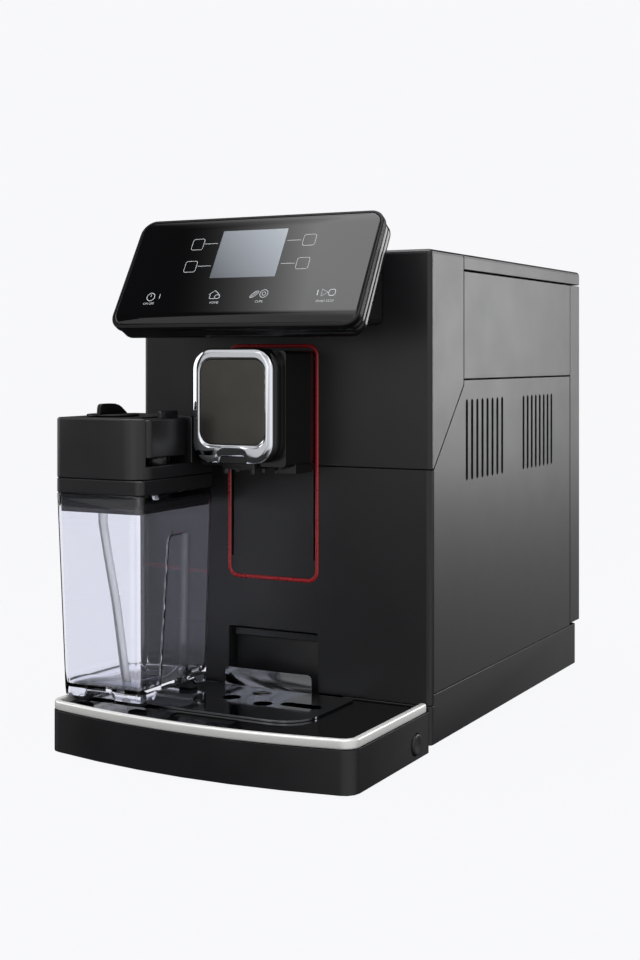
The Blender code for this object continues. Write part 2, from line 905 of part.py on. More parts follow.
def make_power_module():
    """Three-pin inlet and switch well in one moulding, held from inside by its flange."""
    back_face = rear - wall - clearance
    left = socket_x - socket_width / 2
    right = left + socket_width + switch_width
    low, high = socket_z - socket_height / 2, socket_z + socket_height / 2
    module = block("power_module", (left, rear - socket_depth, low), (right, rear - clearance, high),
                   "gloss_black")
    grow = socket_flange
    flange = block("module_flange", (left - grow, back_face - socket_flange, low - grow),
                   (right + grow, back_face, high + grow))
    join(module, flange)
    t = socket_wall
    divider = left + socket_width
    well_depth = rear - socket_depth + t
    cut(module,
        block("inlet_cup", (left + t, well_depth, low + t),
              (divider - t / 2, rear + overrun, high - t)),
        block("switch_cup", (divider + t / 2, well_depth, low + t), (right - t, rear + overrun, high - t)))
    for i in (-1, 0, 1):
        x = socket_x + i * socket_pin_spacing / 2
        z = socket_z + (socket_pin_width / 2 if i == 0 else -socket_pin_width / 2)
        low_end = (x - socket_pin_thickness / 2, rear - socket_depth + t / 2, z - socket_pin_width / 2)
        high_end = (x + socket_pin_thickness / 2, rear - socket_depth / 4, z + socket_pin_width / 2)
        join(module, block(f"inlet_pin_{i + 1}", low_end, high_end))

    radius = (high - low) / 2 - t - clearance
    centre = (rear - clearance - radius * rocker_sink_share, socket_z)
    outline = []
    for y, z in circle(centre, radius, round_sides):
        outline.append((min(y, rear - clearance), z))
    rocker = prism("power_switch_rocker", outline, "X", divider + t / 2 + clearance,
                   right - t - clearance, "red_plastic")
    carry(pivot("power_switch_axis", ((divider + right) / 2, centre[0], centre[1])), rocker)


def lid(name, left, right, finish):
    """A flat lid with a half-round rear edge about its hinge line and a finger dish."""
    axis = (back(lid_rear) - seam - lid_thickness / 2, body_height - lid_thickness / 2)
    low, high = body_height - lid_thickness, body_height
    outline = [(back(lid_front) + seam, high), (back(lid_front) + seam, low)]
    outline += arc(axis, lid_thickness / 2, 270, 450, fine_steps)
    piece = prism(name, outline, "X", left + seam, right - seam, finish, smooth=True)
    dish = ((left + right) / 2, back(lid_front) + lid_grip_radius * 2)
    profile = [(lid_grip_radius, high - lid_grip_depth), (lid_grip_radius, high + overrun)]
    cut(piece, turned(name + "_dish", profile, dish))
    carry(pivot(name + "_axis", ((left + right) / 2, axis[0], axis[1])), piece)
    return piece


def make_top():
    low = body_height - top_cover_thickness
    outline = rounded(-half, back(wing_depth + seam), half, rear, (0, 0, rear_corner, rear_corner),
                      fine_steps)
    top = prism("top_cover", outline, "Z", low, body_height, "satin_black")

    def rim_edge(a, b):
        on_top = near(a.z, body_height) and near(b.z, body_height)
        return on_top and not (near(a.y, back(wing_depth + seam)) and near(b.y, back(wing_depth + seam)))

    soften(top, rim_edge, top_round, coarse_steps)
    ledge_height = body_height - lid_thickness - clearance
    tools = [
        block("hopper_opening", (hopper_lid_left, back(lid_front), ledge_height),
              (hopper_lid_right, back(lid_rear), body_height + overrun)),
        block("hopper_throat", (hopper_lid_left + lid_ledge, back(lid_front + lid_ledge), low - overrun),
              (hopper_lid_right - lid_ledge, back(lid_rear - lid_ledge), body_height + overrun)),
        block("tank_opening", (tank_lid_left, back(lid_front), low - overrun),
              (tank_lid_right, back(lid_rear), body_height + overrun)),
    ]
    cut(top, *tools)
    lid("hopper_lid", hopper_lid_left, hopper_lid_right, "satin_black")
    lid("tank_lid", tank_lid_left, tank_lid_right, "satin_black")


# Control panel

def panel_piece(name, outline, near_y, far_y, finish=None, smooth=True):
    """A slab in the panel's own frame: X across, Z up the slope, Y into the machine."""
    obj = prism(name, outline, "Y", near_y, far_y, finish, smooth)
    turn = Matrix.Rotation(-panel_tilt, 4, "X")
    shift = Matrix.Translation((0, ahead(glass_bottom_reach), glass_bottom_height))
    obj.data.transform(shift @ turn)
    return obj


def make_panel():
    glass = rounded(-glass_half, 0, glass_half, glass_height, glass_radius, fine_steps)
    panel_piece("control_panel_glass", glass, 0, glass_thickness, "gloss_black")

    grow = bezel_rim
    outer = rounded(-glass_half - grow, -bezel_low_rim, glass_half + grow, glass_height + grow,
                    glass_radius + grow, fine_steps)
    bezel = panel_piece("control_panel_bezel", outer, glass_thickness / 4, bezel_thickness, "satin_black")
    gap = clearance
    seat = rounded(-glass_half - gap, -gap, glass_half + gap, glass_height + gap, glass_radius + gap,
                   fine_steps)
    pocket = panel_piece("bezel_pocket", seat, -overrun, glass_thickness + gap)
    window = panel_piece("bezel_window", rounded(-board_half - gap, board_bottom - gap, board_half + gap,
                                                 board_top + gap, 0), 0, bezel_thickness + overrun)
    cut(bezel, pocket, window)

    inset = housing_inset
    shell = rounded(-glass_half - grow + inset, -bezel_low_rim + inset, glass_half + grow - inset,
                    glass_height + grow - inset, glass_radius + grow - inset, fine_steps)
    start = bezel_thickness + gap
    end = start + housing_thickness
    housing = panel_piece("control_panel_housing", shell, start, end, "satin_black")
    hollow = panel_piece("housing_hollow", rounded(-board_half - gap, board_bottom - gap, board_half + gap,
                                                   board_top + gap, 0), 0, end - housing_wall)
    cut(housing, hollow)

    screen = rounded(-screen_half, screen_bottom, screen_half, screen_top, 0)
    first = glass_thickness + gap
    panel_piece("display_screen", screen, first, first + screen_thickness, "screen", smooth=False)
    first += screen_thickness + gap
    board = rounded(-board_half, board_bottom, board_half, board_top, 0)
    panel_piece("control_board", board, first, first + board_thickness, "board_green", smooth=False)

    def slope_y(z):
        """Y of the housing's back face, and a gap behind it, at a height."""
        depth = end + gap
        along = (z - glass_bottom_height + depth * math.sin(panel_tilt)) / math.cos(panel_tilt)
        return ahead(glass_bottom_reach) + depth * math.cos(panel_tilt) + along * math.sin(panel_tilt)

    top = body_height - clearance
    side = [(slope_y(mount_bottom), mount_bottom), (ahead(clearance), mount_bottom),
            (ahead(clearance), top), (slope_y(top), top)]
    mount = prism("control_panel_mount", side, "X", -mount_half, mount_half, "satin_black", smooth=False)

    def low_edge(a, b):
        across = near(a.z, mount_bottom) and near(b.z, mount_bottom)
        return across and not (near(a.y, ahead(clearance)) and near(b.y, ahead(clearance)))

    soften(mount, low_edge, mount_round, 2)


# Sliding spout

def spout_outline(inset, radius):
    return rounded(spout_x - spout_half + inset, spout_bottom + inset, spout_x + spout_half - inset,
                   spout_top - inset, radius - inset, fine_steps)


def make_spout():
    axis = pivot("spout_axis", (spout_x, ahead(shell_rear_reach), spout_bottom))
    shell = prism("spout_carriage", spout_outline(0, spout_radius), "Y", ahead(shell_front_reach),
                  ahead(shell_rear_reach), "gloss_black")
    column = prism("spout_column", rounded(column_left, column_bottom, column_right, column_top, wall),
                   "Y", ahead(shell_rear_reach + wall), ahead(column_rear_reach))
    foot = block("spout_column_foot",
                 (column_foot_left, ahead(column_foot_front_reach), column_foot_bottom),
                 (column_right, ahead(column_foot_rear_reach), column_bottom + wall))
    grip = block("spout_grip", (spout_x - notch_half + clearance, ahead(grip_reach), spout_bottom),
                 (spout_x + notch_half - clearance, ahead(shell_front_reach - wall), notch_top - clearance))
    join(shell, column, foot, grip)
    inner = back(wall + clearance)
    for side, edge in (("left", column_left), ("right", column_right - fin_width)):
        fin = block("spout_fin_" + side, (edge, ahead(column_rear_reach + wall), fin_bottom),
                    (edge + fin_width, inner + fin_foot_thickness, fin_top))
        hook_edge = edge if side == "left" else edge - fin_foot
        hook = block("spout_hook_" + side, (hook_edge, inner, fin_bottom),
                     (hook_edge + fin_width + fin_foot, inner + fin_foot_thickness, fin_top))
        join(shell, fin, hook)

    bezel_rear = ahead(shell_front_reach + clearance)
    bezel = prism("spout_bezel", spout_outline(0, spout_radius), "Y", ahead(bezel_front_reach),
                  bezel_rear, "chrome")

    def face_edge(a, b):
        return near(a.y, ahead(bezel_front_reach)) and near(b.y, ahead(bezel_front_reach))

    soften(bezel, face_edge, wall / 2, 2)
    dish = rounded(spout_x - plate_half_width - clearance, plate_bottom - clearance,
                   spout_x + plate_half_width + clearance, plate_top + clearance, plate_radius, fine_steps)
    pocket = prism("bezel_dish", dish, "Y", ahead(bezel_front_reach + overrun),
                   ahead(bezel_front_reach - plate_sink - plate_thickness - clearance))
    notch = block("bezel_notch",
                  (spout_x - notch_half, ahead(bezel_front_reach + overrun), spout_bottom - overrun),
                  (spout_x + notch_half, bezel_rear + overrun, notch_top))
    cut(bezel, pocket, notch)
    badge = rounded(spout_x - plate_half_width, plate_bottom, spout_x + plate_half_width, plate_top,
                    plate_radius - clearance, fine_steps)
    plate = prism("spout_plate", badge, "Y", ahead(bezel_front_reach - plate_sink),
                  ahead(bezel_front_reach - plate_sink - plate_thickness), "bronze_plate")
    carry(axis, shell, bezel, plate)

    top = column_bottom - clearance
    left, right = nozzle_left_x - nozzle_radius, nozzle_right_x + nozzle_radius
    start = ahead(nozzle_front_reach + nozzle_radius)
    outlets = block("outlet_nozzles", (left, start, top - nozzle_bridge),
                    (right, ahead(nozzle_rear_reach - nozzle_radius), top), "gloss_black")
    riser = block("outlet_riser", (left, start, top - nozzle_bridge),
                  (right, ahead(shell_rear_reach + wall + clearance), spout_bottom - clearance))
    join(outlets, riser)
    tip = nozzle_radius * nozzle_tip_share
    for reach in (nozzle_front_reach, nozzle_rear_reach):
        for x in (nozzle_left_x, nozzle_right_x):
            profile = [(tip, nozzle_bottom), (nozzle_radius, nozzle_bottom + nozzle_radius),
                       (nozzle_radius, top - nozzle_bridge / 2)]
            join(outlets, turned("nozzle", profile, (x, ahead(reach)), sides=small_sides))
            profile = [(nozzle_bore, nozzle_bottom - overrun), (nozzle_bore, top - nozzle_bridge)]
            cut(outlets, turned("nozzle_bore", profile, (x, ahead(reach)), sides=small_sides))
    carry(axis, outlets)


# Drip tray

def tray_outline(inset, rear_gap):
    """The tray seen from above: straight sides and a front that bows forward."""
    reach = tray_reach - tray_bow - inset
    side = tray_half - inset
    r = tray_corner - inset / 2
    points = [(-side, ahead(rear_gap))]
    points += arc((-side + r, ahead(reach) + r), r, 180, 262, coarse_steps)
    for i in range(1, tray_bow_steps):
        share = i / tray_bow_steps
        x = -side + r + 2 * (side - r) * share
        points.append((x, ahead(reach + tray_bow * (1 - (2 * share - 1) ** 2))))
    points += arc((side - r, ahead(reach) + r), r, 278, 360, coarse_steps)
    points.append((side, ahead(rear_gap)))
    return points


def make_tray():
    axis = pivot("drip_tray_axis", (0, front, tray_bottom))
    tub = prism("drip_tray", tray_outline(0, tray_gap), "Z", tray_bottom, tray_wall_top, "satin_black")
    tail = block("tray_tail", (-tub_half, ahead(tray_gap + tray_wall), tub_bottom),
                 (tub_half, back(tub_depth), tray_wall_top))
    join(tub, tail)
    hollow = prism("tray_hollow", tray_outline(tray_wall, tray_gap + tray_wall), "Z",
                   tray_bottom + tray_floor, tray_wall_top + overrun)
    tail_hollow = block("tail_hollow",
                        (-tub_half + tub_wall, ahead(tray_gap + tray_wall + overrun),
                         tub_bottom + tub_wall),
                        (tub_half - tub_wall, back(tub_depth - tub_wall), tray_wall_top + overrun))
    button_hole = turned("button_hole", [(release_hole_radius, tray_half - tray_wall - clearance),
                                         (release_hole_radius, tray_half + overrun)],
                         (ahead(release_reach), release_height), "X", round_sides)
    cut(tub, hollow, tail_hollow, button_hole)

    trim = prism("tray_trim", tray_outline(0, trim_end_gap), "Z", trim_bottom, trim_top, "satin_silver")
    cut(trim,
        prism("trim_inner", tray_outline(trim_width, -overrun), "Z", trim_bottom - overrun,
              trim_top + overrun))

    inset = trim_width + clearance
    cover = prism("tray_cover", tray_outline(inset, tray_gap), "Z", trim_bottom, tray_cover_top,
                  "gloss_black")
    drain = block("tray_drain", (lip_left, ahead(cup_plate_reach - drain_inset), trim_bottom - overrun),
                  (cup_plate_right - drain_inset, ahead(cup_plate_back + drain_inset),
                   tray_cover_top + overrun))
    gate = block("float_gate",
                 (float_left - clearance, ahead(float_front_reach + clearance), trim_bottom - overrun),
                 (float_right + clearance, ahead(float_rear_reach - clearance), tray_cover_top + overrun))
    cut(cover, drain, gate)

    steel = rounded(cup_plate_left, ahead(cup_plate_reach), cup_plate_right, ahead(cup_plate_back),
                    (wall, cup_plate_radius, wall, wall), fine_steps)
    top = cup_plate_bottom + cup_plate_thickness
    plate = prism("cup_plate", steel, "Z", cup_plate_bottom, top, "steel")
    lip = prism("cup_plate_lip",
                rounded(lip_left, cup_plate_bottom, lip_right, lip_top, (0, 0, lip_corner, lip_corner)),
                "Y", ahead(cup_plate_back + lip_thickness), ahead(cup_plate_back))
    join(plate, lip)
    slot = slot_outline(cup_slot_left, ahead(cup_slot_reach + cup_slot_width / 2),
                        cup_slot_left + cup_slot_length, ahead(cup_slot_reach - cup_slot_width / 2))
    cut(plate, prism("cup_slot", slot, "Z", cup_plate_bottom - overrun, top + overrun))
    for x, reach in ((cup_hole_left_x, cup_hole_left_reach), (cup_hole_rear_x, cup_hole_rear_reach),
                     (cup_hole_right_x, cup_hole_right_reach)):
        profile = [(cup_hole_radius, cup_plate_bottom - overrun), (cup_hole_radius, top + overrun)]
        cut(plate, turned("cup_hole", profile, (x, ahead(reach))))

    button_axis = pivot("tray_release_axis", (tray_half, ahead(release_reach), release_height))
    inner = tray_half - tray_wall - clearance * 2
    button = turned("tray_release_button",
                    [(release_flange_radius, inner - release_flange_thickness),
                     (release_flange_radius, inner),
                     (release_radius, inner), (release_radius, tray_half + release_proud)],
                    (ahead(release_reach), release_height), "X", round_sides, "satin_black")
    carry(button_axis, button)

    float_bottom = tray_bottom + tray_floor + clearance
    float_axis = pivot("tray_float_axis", (0, ahead(float_front_reach), float_bottom))
    bar = prism("tray_float",
                rounded(float_left, ahead(float_front_reach), float_right, ahead(float_rear_reach),
                        wall / 2, 2),
                "Z", float_bottom, float_top, "red_plastic")
    carry(float_axis, bar)

    low = tub_bottom + tub_wall + clearance
    first, last = back(grounds_setback), back(grounds_setback + grounds_depth)
    box = block("grounds_container", (grounds_left, first, low), (grounds_right, last, grounds_top),
                "satin_black")
    lip = block("grounds_lip", (grounds_left, first - grounds_lip_reach, grounds_top - grounds_lip_height),
                (grounds_right, first + grounds_wall, grounds_top))
    join(box, lip)
    t = grounds_wall
    cut(box,
        block("grounds_hollow", (grounds_left + t, first + t, low + t),
              (grounds_right - t, last - t, grounds_top + overrun)))
    carry(pivot("grounds_container_axis", (0, first, low)), box)
    for piece in (tub, trim, cover, plate):
        carry(axis, piece)


# Milk carafe

def jug_outline(share, inset, radius=jug_radius):
    """The carafe seen from above; share runs from 0 at its foot to 1 at its rim."""
    def mix(low, high):
        return low + (high - low) * share
    left, right = mix(jug_bottom_left, jug_top_left), mix(jug_bottom_right, jug_top_right)
    near_side = ahead(mix(jug_bottom_front, jug_front_reach))
    far_side = ahead(mix(jug_bottom_rear, jug_rear_reach))
    return rounded(left + inset, near_side + inset, right - inset, far_side - inset,
                   max(radius - inset, clearance), fine_steps)


def jug_share(z):
    return (z - jug_bottom) / (jug_top - jug_bottom)


def make_carafe():
    axis = pivot("carafe_axis", (jug_bottom_left, ahead(jug_bottom_rear), jug_bottom))
    jug = loft("carafe_jug", [(jug_outline(0, 0), jug_bottom), (jug_outline(1, 0), jug_top)],
               finish="clear_plastic")
    low = jug_bottom + jug_floor
    high = jug_top + overrun
    cut(jug,
        loft("jug_hollow",
             [(jug_outline(jug_share(low), jug_wall), low),
              (jug_outline(jug_share(high), jug_wall), high)]))

    foot = prism("carafe_foot", jug_outline(0, jug_foot_inset), "Z", jug_foot_bottom, jug_bottom - clearance,
                 "rubber")

    rim_low = jug_top + clearance
    collar = prism("carafe_collar", jug_outline(1, 0), "Z", rim_low, collar_top, "satin_black")
    inset = jug_wall + clearance
    skirt = prism("collar_skirt", jug_outline(jug_share(collar_skirt_bottom), inset), "Z",
                  collar_skirt_bottom, rim_low + wall)
    join(collar, skirt)
    bore = prism("collar_bore", jug_outline(jug_share(collar_skirt_bottom), inset + collar_wall), "Z",
                 collar_skirt_bottom - overrun, collar_top - wall)
    jug_width = jug_top_right - jug_top_left
    tube_top_x, tube_bend_x, tube_low_x = (jug_top_left + share * jug_width for share in tube_place_shares)
    tube_hole = turned("collar_tube_hole",
                       [(tube_radius + clearance, collar_skirt_bottom),
                        (tube_radius + clearance, high)],
                       (tube_top_x, ahead(tube_reach)), sides=small_sides)
    cut(collar, bore, tube_hole)

    corner = jug_lid_front_round
    outline = rounded(jug_top_left, ahead(jug_front_reach), jug_top_right, ahead(jug_rear_reach),
                      (jug_radius, corner, jug_radius, jug_radius), fine_steps)
    lid_piece = prism("carafe_lid", outline, "Z", jug_lid_bottom, jug_lid_top, "satin_black")

    def lid_edge(a, b):
        return near(a.z, jug_lid_top) and near(b.z, jug_lid_top)

    soften(lid_piece, lid_edge, jug_lid_wall / 2, 2)
    notch = block("arm_notch", (arm_left - arm_gap, ahead(arm_front_reach + arm_gap), arm_ledge_height),
                  (jug_top_right + overrun, ahead(arm_rear_reach - arm_gap), jug_lid_top + overrun))
    t = jug_lid_wall
    hollow = block("lid_hollow", (jug_top_left + t, ahead(jug_front_reach - t), jug_lid_bottom - overrun),
                   (arm_left - arm_gap - t, ahead(jug_rear_reach + t), jug_lid_top - t))
    cut(lid_piece, notch, hollow)

    arm_x = arm_left + arm_width / 2
    arm_y = ahead(arm_rear_reach) - arm_width / 2
    r = arm_width / 2
    arm_shape = [(arm_left + wall, ahead(arm_front_reach)),
                 (arm_left + arm_width - wall, ahead(arm_front_reach)),
                 (arm_left + arm_width, ahead(arm_front_reach - wall))]
    arm_shape += arc((arm_x, arm_y), r, 0, 180, small_sides // 2)
    arm_shape.append((arm_left, ahead(arm_front_reach - wall)))
    arm = prism("carafe_spout_arm", arm_shape, "Z", arm_bottom, arm_top, "satin_black")
    nozzle = turned("arm_nozzle",
                    [(arm_nozzle_radius, arm_nozzle_bottom), (arm_nozzle_radius, arm_bottom + wall)],
                    (arm_x, ahead(arm_nozzle_reach)), sides=round_sides)
    tab = block("arm_tab", (arm_x - arm_tab_thickness / 2, ahead(arm_tab_front_reach), arm_top - wall),
                (arm_x + arm_tab_thickness / 2, ahead(arm_tab_rear_reach + wall), arm_top + arm_tab_height))
    stem = turned("arm_stem",
                  [(arm_stem_radius, arm_ledge_height + clearance),
                   (arm_stem_radius, arm_bottom + wall)],
                  (arm_x, arm_y), sides=small_sides)
    join(arm, nozzle, tab, stem)
    bore = turned("arm_bore",
                  [(nozzle_radius, arm_nozzle_bottom - overrun), (nozzle_radius, arm_bottom + wall)],
                  (arm_x, ahead(arm_nozzle_reach)), sides=small_sides)
    cut(arm, bore)
    carry(pivot("carafe_spout_arm_axis", (arm_x, arm_y, arm_bottom)), arm)

    centre = (knob_x, ahead(knob_reach))
    base = jug_lid_top + clearance
    knob = turned("froth_knob", [(knob_radius, base), (knob_radius, knob_disc_top)], centre,
                  finish="satin_black")
    low_y = ahead(knob_reach + knob_radius - knob_fin_inset)
    high_y = ahead(knob_reach - knob_radius + knob_fin_inset)
    fin = [(low_y, knob_disc_top - wall / 2), (high_y, knob_disc_top - wall / 2), (high_y, knob_disc_top),
           (high_y - knob_fin_rear_slope, knob_fin_top), (low_y + knob_fin_front_slope, knob_fin_top),
           (low_y, knob_disc_top)]
    join(knob,
         prism("knob_fin", fin, "X", knob_x - knob_fin_thickness / 2, knob_x + knob_fin_thickness / 2))
    carry(pivot("froth_knob_axis", (knob_x, ahead(knob_reach), base)), knob)

    path = [(tube_top_x, collar_top - wall - clearance), (tube_top_x, collar_skirt_bottom),
            (tube_bend_x, jug_bottom + jug_height * tube_bend_height_share),
            (tube_low_x, jug_bottom + jug_floor + tube_floor_gap)]
    tube = sweep("carafe_tube", path, ahead(tube_reach), tube_radius, "white_plastic")
    carry(axis, jug, foot, collar, lid_piece, tube)


def sweep(name, path, y, radius, finish):
    """A round rod through points of a plane of constant Y, with level ends."""
    bm = bmesh.new()
    rings = []
    for x, z in path:
        rings.append([bm.verts.new((x + a, y + b, z)) for a, b in circle((0, 0), radius, small_sides)])
    for lower, upper in zip(rings, rings[1:]):
        for i in range(small_sides):
            j = (i + 1) % small_sides
            bm.faces.new((lower[i], lower[j], upper[j], upper[i]))
    bm.faces.new(rings[0][::-1])
    bm.faces.new(rings[-1])
    return place(name, bm, finish)


def make_steam_port():
    """The stub that the carafe's lid meets, clipped through the front cover."""
    reach = ahead(jug_rear_reach - clearance)
    inner = back(wall + clearance)
    stub = turned("steam_port",
                  [(port_radius, reach), (port_radius, ahead(clearance)),
                   (port_stem_radius, ahead(clearance)), (port_stem_radius, inner + port_inner_length)],
                  (port_x, port_z), "Y", round_sides, "satin_black")
    profile = [(port_bore, reach - overrun), (port_bore, inner + port_inner_length / 2)]
    cut(stub, turned("port_drilling", profile, (port_x, port_z), "Y", small_sides))


# Inside

def make_frame():
    """Upright wall with a deck to its right, a tank shelf to its left and rails under the brew group."""
    side = [(back(frame_front), frame_low), (back(frame_low_front), frame_low),
            (back(frame_low_front), base_floor),
            (back(frame_rear), base_floor), (back(frame_rear), deck_bottom + deck_thickness),
            (back(frame_front), deck_bottom + deck_thickness)]
    frame = prism("inner_frame", side, "X", frame_wall_left, frame_wall_right, "grey_plastic", smooth=False)
    edge = half - wall - frame_side_gap
    deck = block("frame_deck", (frame_wall_left, back(frame_front), deck_bottom),
                 (edge, back(frame_rear), deck_bottom + deck_thickness))
    shelf = block("frame_shelf", (-edge, back(frame_front), shelf_bottom),
                  (frame_wall_right, back(frame_rear), shelf_bottom + deck_thickness))
    rails = []
    for name, y in (("front", brew_front), ("rear", brew_rear - rail_depth)):
        rails.append(block("frame_rail_" + name, (frame_wall_left, back(y), frame_low),
                           (brew_right, back(y + rail_depth), frame_low + rail_height)))
    join(frame, deck, shelf, *rails)
    bean_hole = turned("bean_hole",
                       [(hopper_throat_half, deck_bottom - overrun),
                        (hopper_throat_half, deck_bottom + overrun)],
                       (grinder_x, back(grinder_y)), sides=round_sides)
    chute_hole = block("chute_hole",
                       (chute_x - chute_half + chute_wall, back(chute_y - chute_half + chute_wall),
                        deck_bottom - overrun),
                       (chute_x + chute_half - chute_wall, back(chute_y + chute_half - chute_wall),
                        deck_bottom + overrun))
    shaft_hole = turned("shaft_hole", [(pinion_shaft_radius + clearance, frame_wall_left - overrun),
                                       (pinion_shaft_radius + clearance, frame_wall_right + overrun)],
                        (back(gear_y), pinion_height), "X", small_sides)
    seat = shelf_bottom + deck_thickness
    spigot = turned("tank_spigot",
                    [(spigot_radius, shelf_bottom - spigot_below),
                     (spigot_radius, seat + spigot_height)],
                    (spigot_x, back(spigot_y)), sides=small_sides)
    spigot_hole = turned("spigot_hole", [(spigot_radius / 2, shelf_bottom - spigot_below - overrun),
                                         (spigot_radius / 2, seat + spigot_height + overrun)],
                         (spigot_x, back(spigot_y)), sides=small_sides)
    join(frame, spigot)
    cut(frame, bean_hole, chute_hole, shaft_hole, spigot_hole)


def gear(name, teeth, height, pitch_radius, phase_share, finish):
    """Flat gear with straight-sided teeth, seen along X."""
    module = 2 * pitch_radius / teeth
    tip = pitch_radius + tooth_tip_share * module
    root = pitch_radius - tooth_root_share * module
    pitch = 2 * math.pi / teeth
    outline = []
    for i in range(teeth):
        middle = (i + phase_share) * pitch
        for radius, offset in ((root, -tooth_root_half_share), (tip, -tooth_tip_half_share),
                               (tip, tooth_tip_half_share), (root, tooth_root_half_share)):
            angle = middle + offset * pitch
            outline.append((back(gear_y) + radius * math.cos(angle), height + radius * math.sin(angle)))
    return prism(name, outline, "X", gear_left, gear_right, finish, smooth=False)


def make_brew_group():
    group = block("brew_group_frame", (brew_left, back(brew_front), brew_bottom),
                  (brew_right, back(brew_rear), brew_top), "grey_plastic")
    t = brew_wall
    window = block("brew_window", (brew_left + t, back(brew_front + t), brew_bottom + t),
                   (brew_right + overrun, back(brew_rear - t), brew_top - t))
    bearing = turned("gear_bearing", [(gear_shaft_radius + clearance, brew_left - overrun),
                                      (gear_shaft_radius + clearance, brew_left + t + overrun)],
                     (back(gear_y), gear_height), "X", small_sides)
    inlet = block("brew_inlet",
                  (chute_x - chute_half + chute_wall, back(chute_y - chute_half + chute_wall),
                   brew_top - t - overrun),
                  (chute_x + chute_half - chute_wall, back(chute_y + chute_half - chute_wall),
                   brew_top + overrun))
    cut(group, window, bearing, inlet)

    low = brew_bottom + t + clearance
    chamber_centre = (chamber_x, back(gear_y))
    chamber = turned("brew_chamber", [(chamber_outer, low), (chamber_outer, low + chamber_height)],
                     chamber_centre, finish="grey_plastic")
    cut(chamber,
        turned("chamber_bore",
               [(chamber_inner, low + chamber_floor),
                (chamber_inner, low + chamber_height + overrun)], chamber_centre))

    piston = turned("brew_piston",
                    [(piston_radius, piston_bottom), (piston_radius, piston_head_bottom + wall)],
                    chamber_centre, finish="white_plastic")
    head = block("piston_head",
                 (chamber_x - piston_head_half, back(brew_front + t) + clearance, piston_head_bottom),
                 (chamber_x + piston_head_half, back(brew_rear - t) - clearance, piston_head_top))
    join(piston, head)
    carry(pivot("brew_piston_axis", (chamber_x, back(gear_y), piston_bottom)), piston)

    wheel = gear("brew_drive_gear", gear_teeth, gear_height, gear_radius, gear_phase_share, "white_plastic")
    shaft = turned("gear_shaft",
                   [(gear_shaft_radius, gear_right - wall / 2), (gear_shaft_radius, brew_left + t)],
                   (back(gear_y), gear_height), "X", small_sides)
    join(wheel, shaft)
    carry(pivot("brew_gear_axis", (gear_left, back(gear_y), gear_height)), wheel)
    pinion = gear("brew_pinion", pinion_teeth, pinion_height, pinion_radius, pinion_phase_share,
                  "bare_aluminium")
    stub = turned("pinion_shaft",
                  [(pinion_shaft_radius, frame_wall_left - pinion_shaft_length),
                   (pinion_shaft_radius, gear_left + wall / 2)],
                  (back(gear_y), pinion_height), "X", small_sides)
    join(pinion, stub)
    carry(pivot("brew_pinion_axis", (gear_left, back(gear_y), pinion_height)), pinion)

    end = frame_wall_left - clearance
    motor = turned("brew_gear_motor",
                   [(gear_motor_radius, end - gear_motor_length), (gear_motor_radius, end)],
                   (back(gear_y), pinion_height), "X", round_sides, "steel")
    profile = [(pinion_shaft_radius + clearance, end - pinion_shaft_length - clearance),
               (pinion_shaft_radius + clearance, end + overrun)]
    cut(motor, turned("motor_socket", profile, (back(gear_y), pinion_height), "X", small_sides))


def make_grinder():
    centre = (grinder_x, back(grinder_y))
    top = deck_bottom - clearance
    case = turned("grinder_housing", [(grinder_radius, grinder_bottom), (grinder_radius, top)], centre,
                  finish="grey_plastic")
    cup = turned("grinder_cup", [(grinder_radius - grinder_wall, grinder_bottom + grinder_wall),
                                 (grinder_radius - grinder_wall, top + overrun)], centre)
    hole = turned("grinder_shaft_hole",
                  [(motor_shaft_radius + clearance, grinder_bottom - overrun),
                   (motor_shaft_radius + clearance, grinder_bottom + overrun)],
                  centre, sides=small_sides)
    cut(case, cup, hole)

    shaft_top = grinder_bottom + grinder_wall + clearance
    motor = turned("grinder_motor",
                   [(motor_radius, grinder_bottom - motor_length),
                    (motor_radius, grinder_bottom - clearance)], centre, finish="steel")
    join(motor,
         turned("grinder_shaft",
                [(motor_shaft_radius, grinder_bottom - wall),
                 (motor_shaft_radius, shaft_top)], centre, sides=small_sides))
    low = shaft_top + clearance
    burr = turned("grinder_burr",
                  [(burr_radius, low), (burr_radius, low + burr_height / 3),
                   (burr_tip_radius, low + burr_height)],
                  centre, finish="steel", sides=small_sides)
    carry(pivot("grinder_burr_axis", (*centre, low)), burr)


def make_hopper():
    shoulder = hopper_top - hopper_rim_height

    def plan(inset):
        return rounded(hopper_left + inset, back(hopper_front + inset), hopper_right - inset,
                       back(hopper_rear - inset), hopper_radius - inset, coarse_steps)

    def neck(size):
        return rounded(grinder_x - size, back(grinder_y) - size, grinder_x + size,
                       back(grinder_y) + size, hopper_radius - wall, coarse_steps)

    hopper = loft("bean_hopper",
                  [(neck(hopper_throat_half), hopper_bottom), (plan(0), shoulder), (plan(0), hopper_top)],
                  finish="smoke_plastic")
    t = hopper_wall
    cut(hopper,
        loft("hopper_hollow",
             [(neck(hopper_throat_half - t), hopper_bottom - clearance), (plan(t), shoulder + t / 2),
              (plan(t), hopper_top + overrun)]))


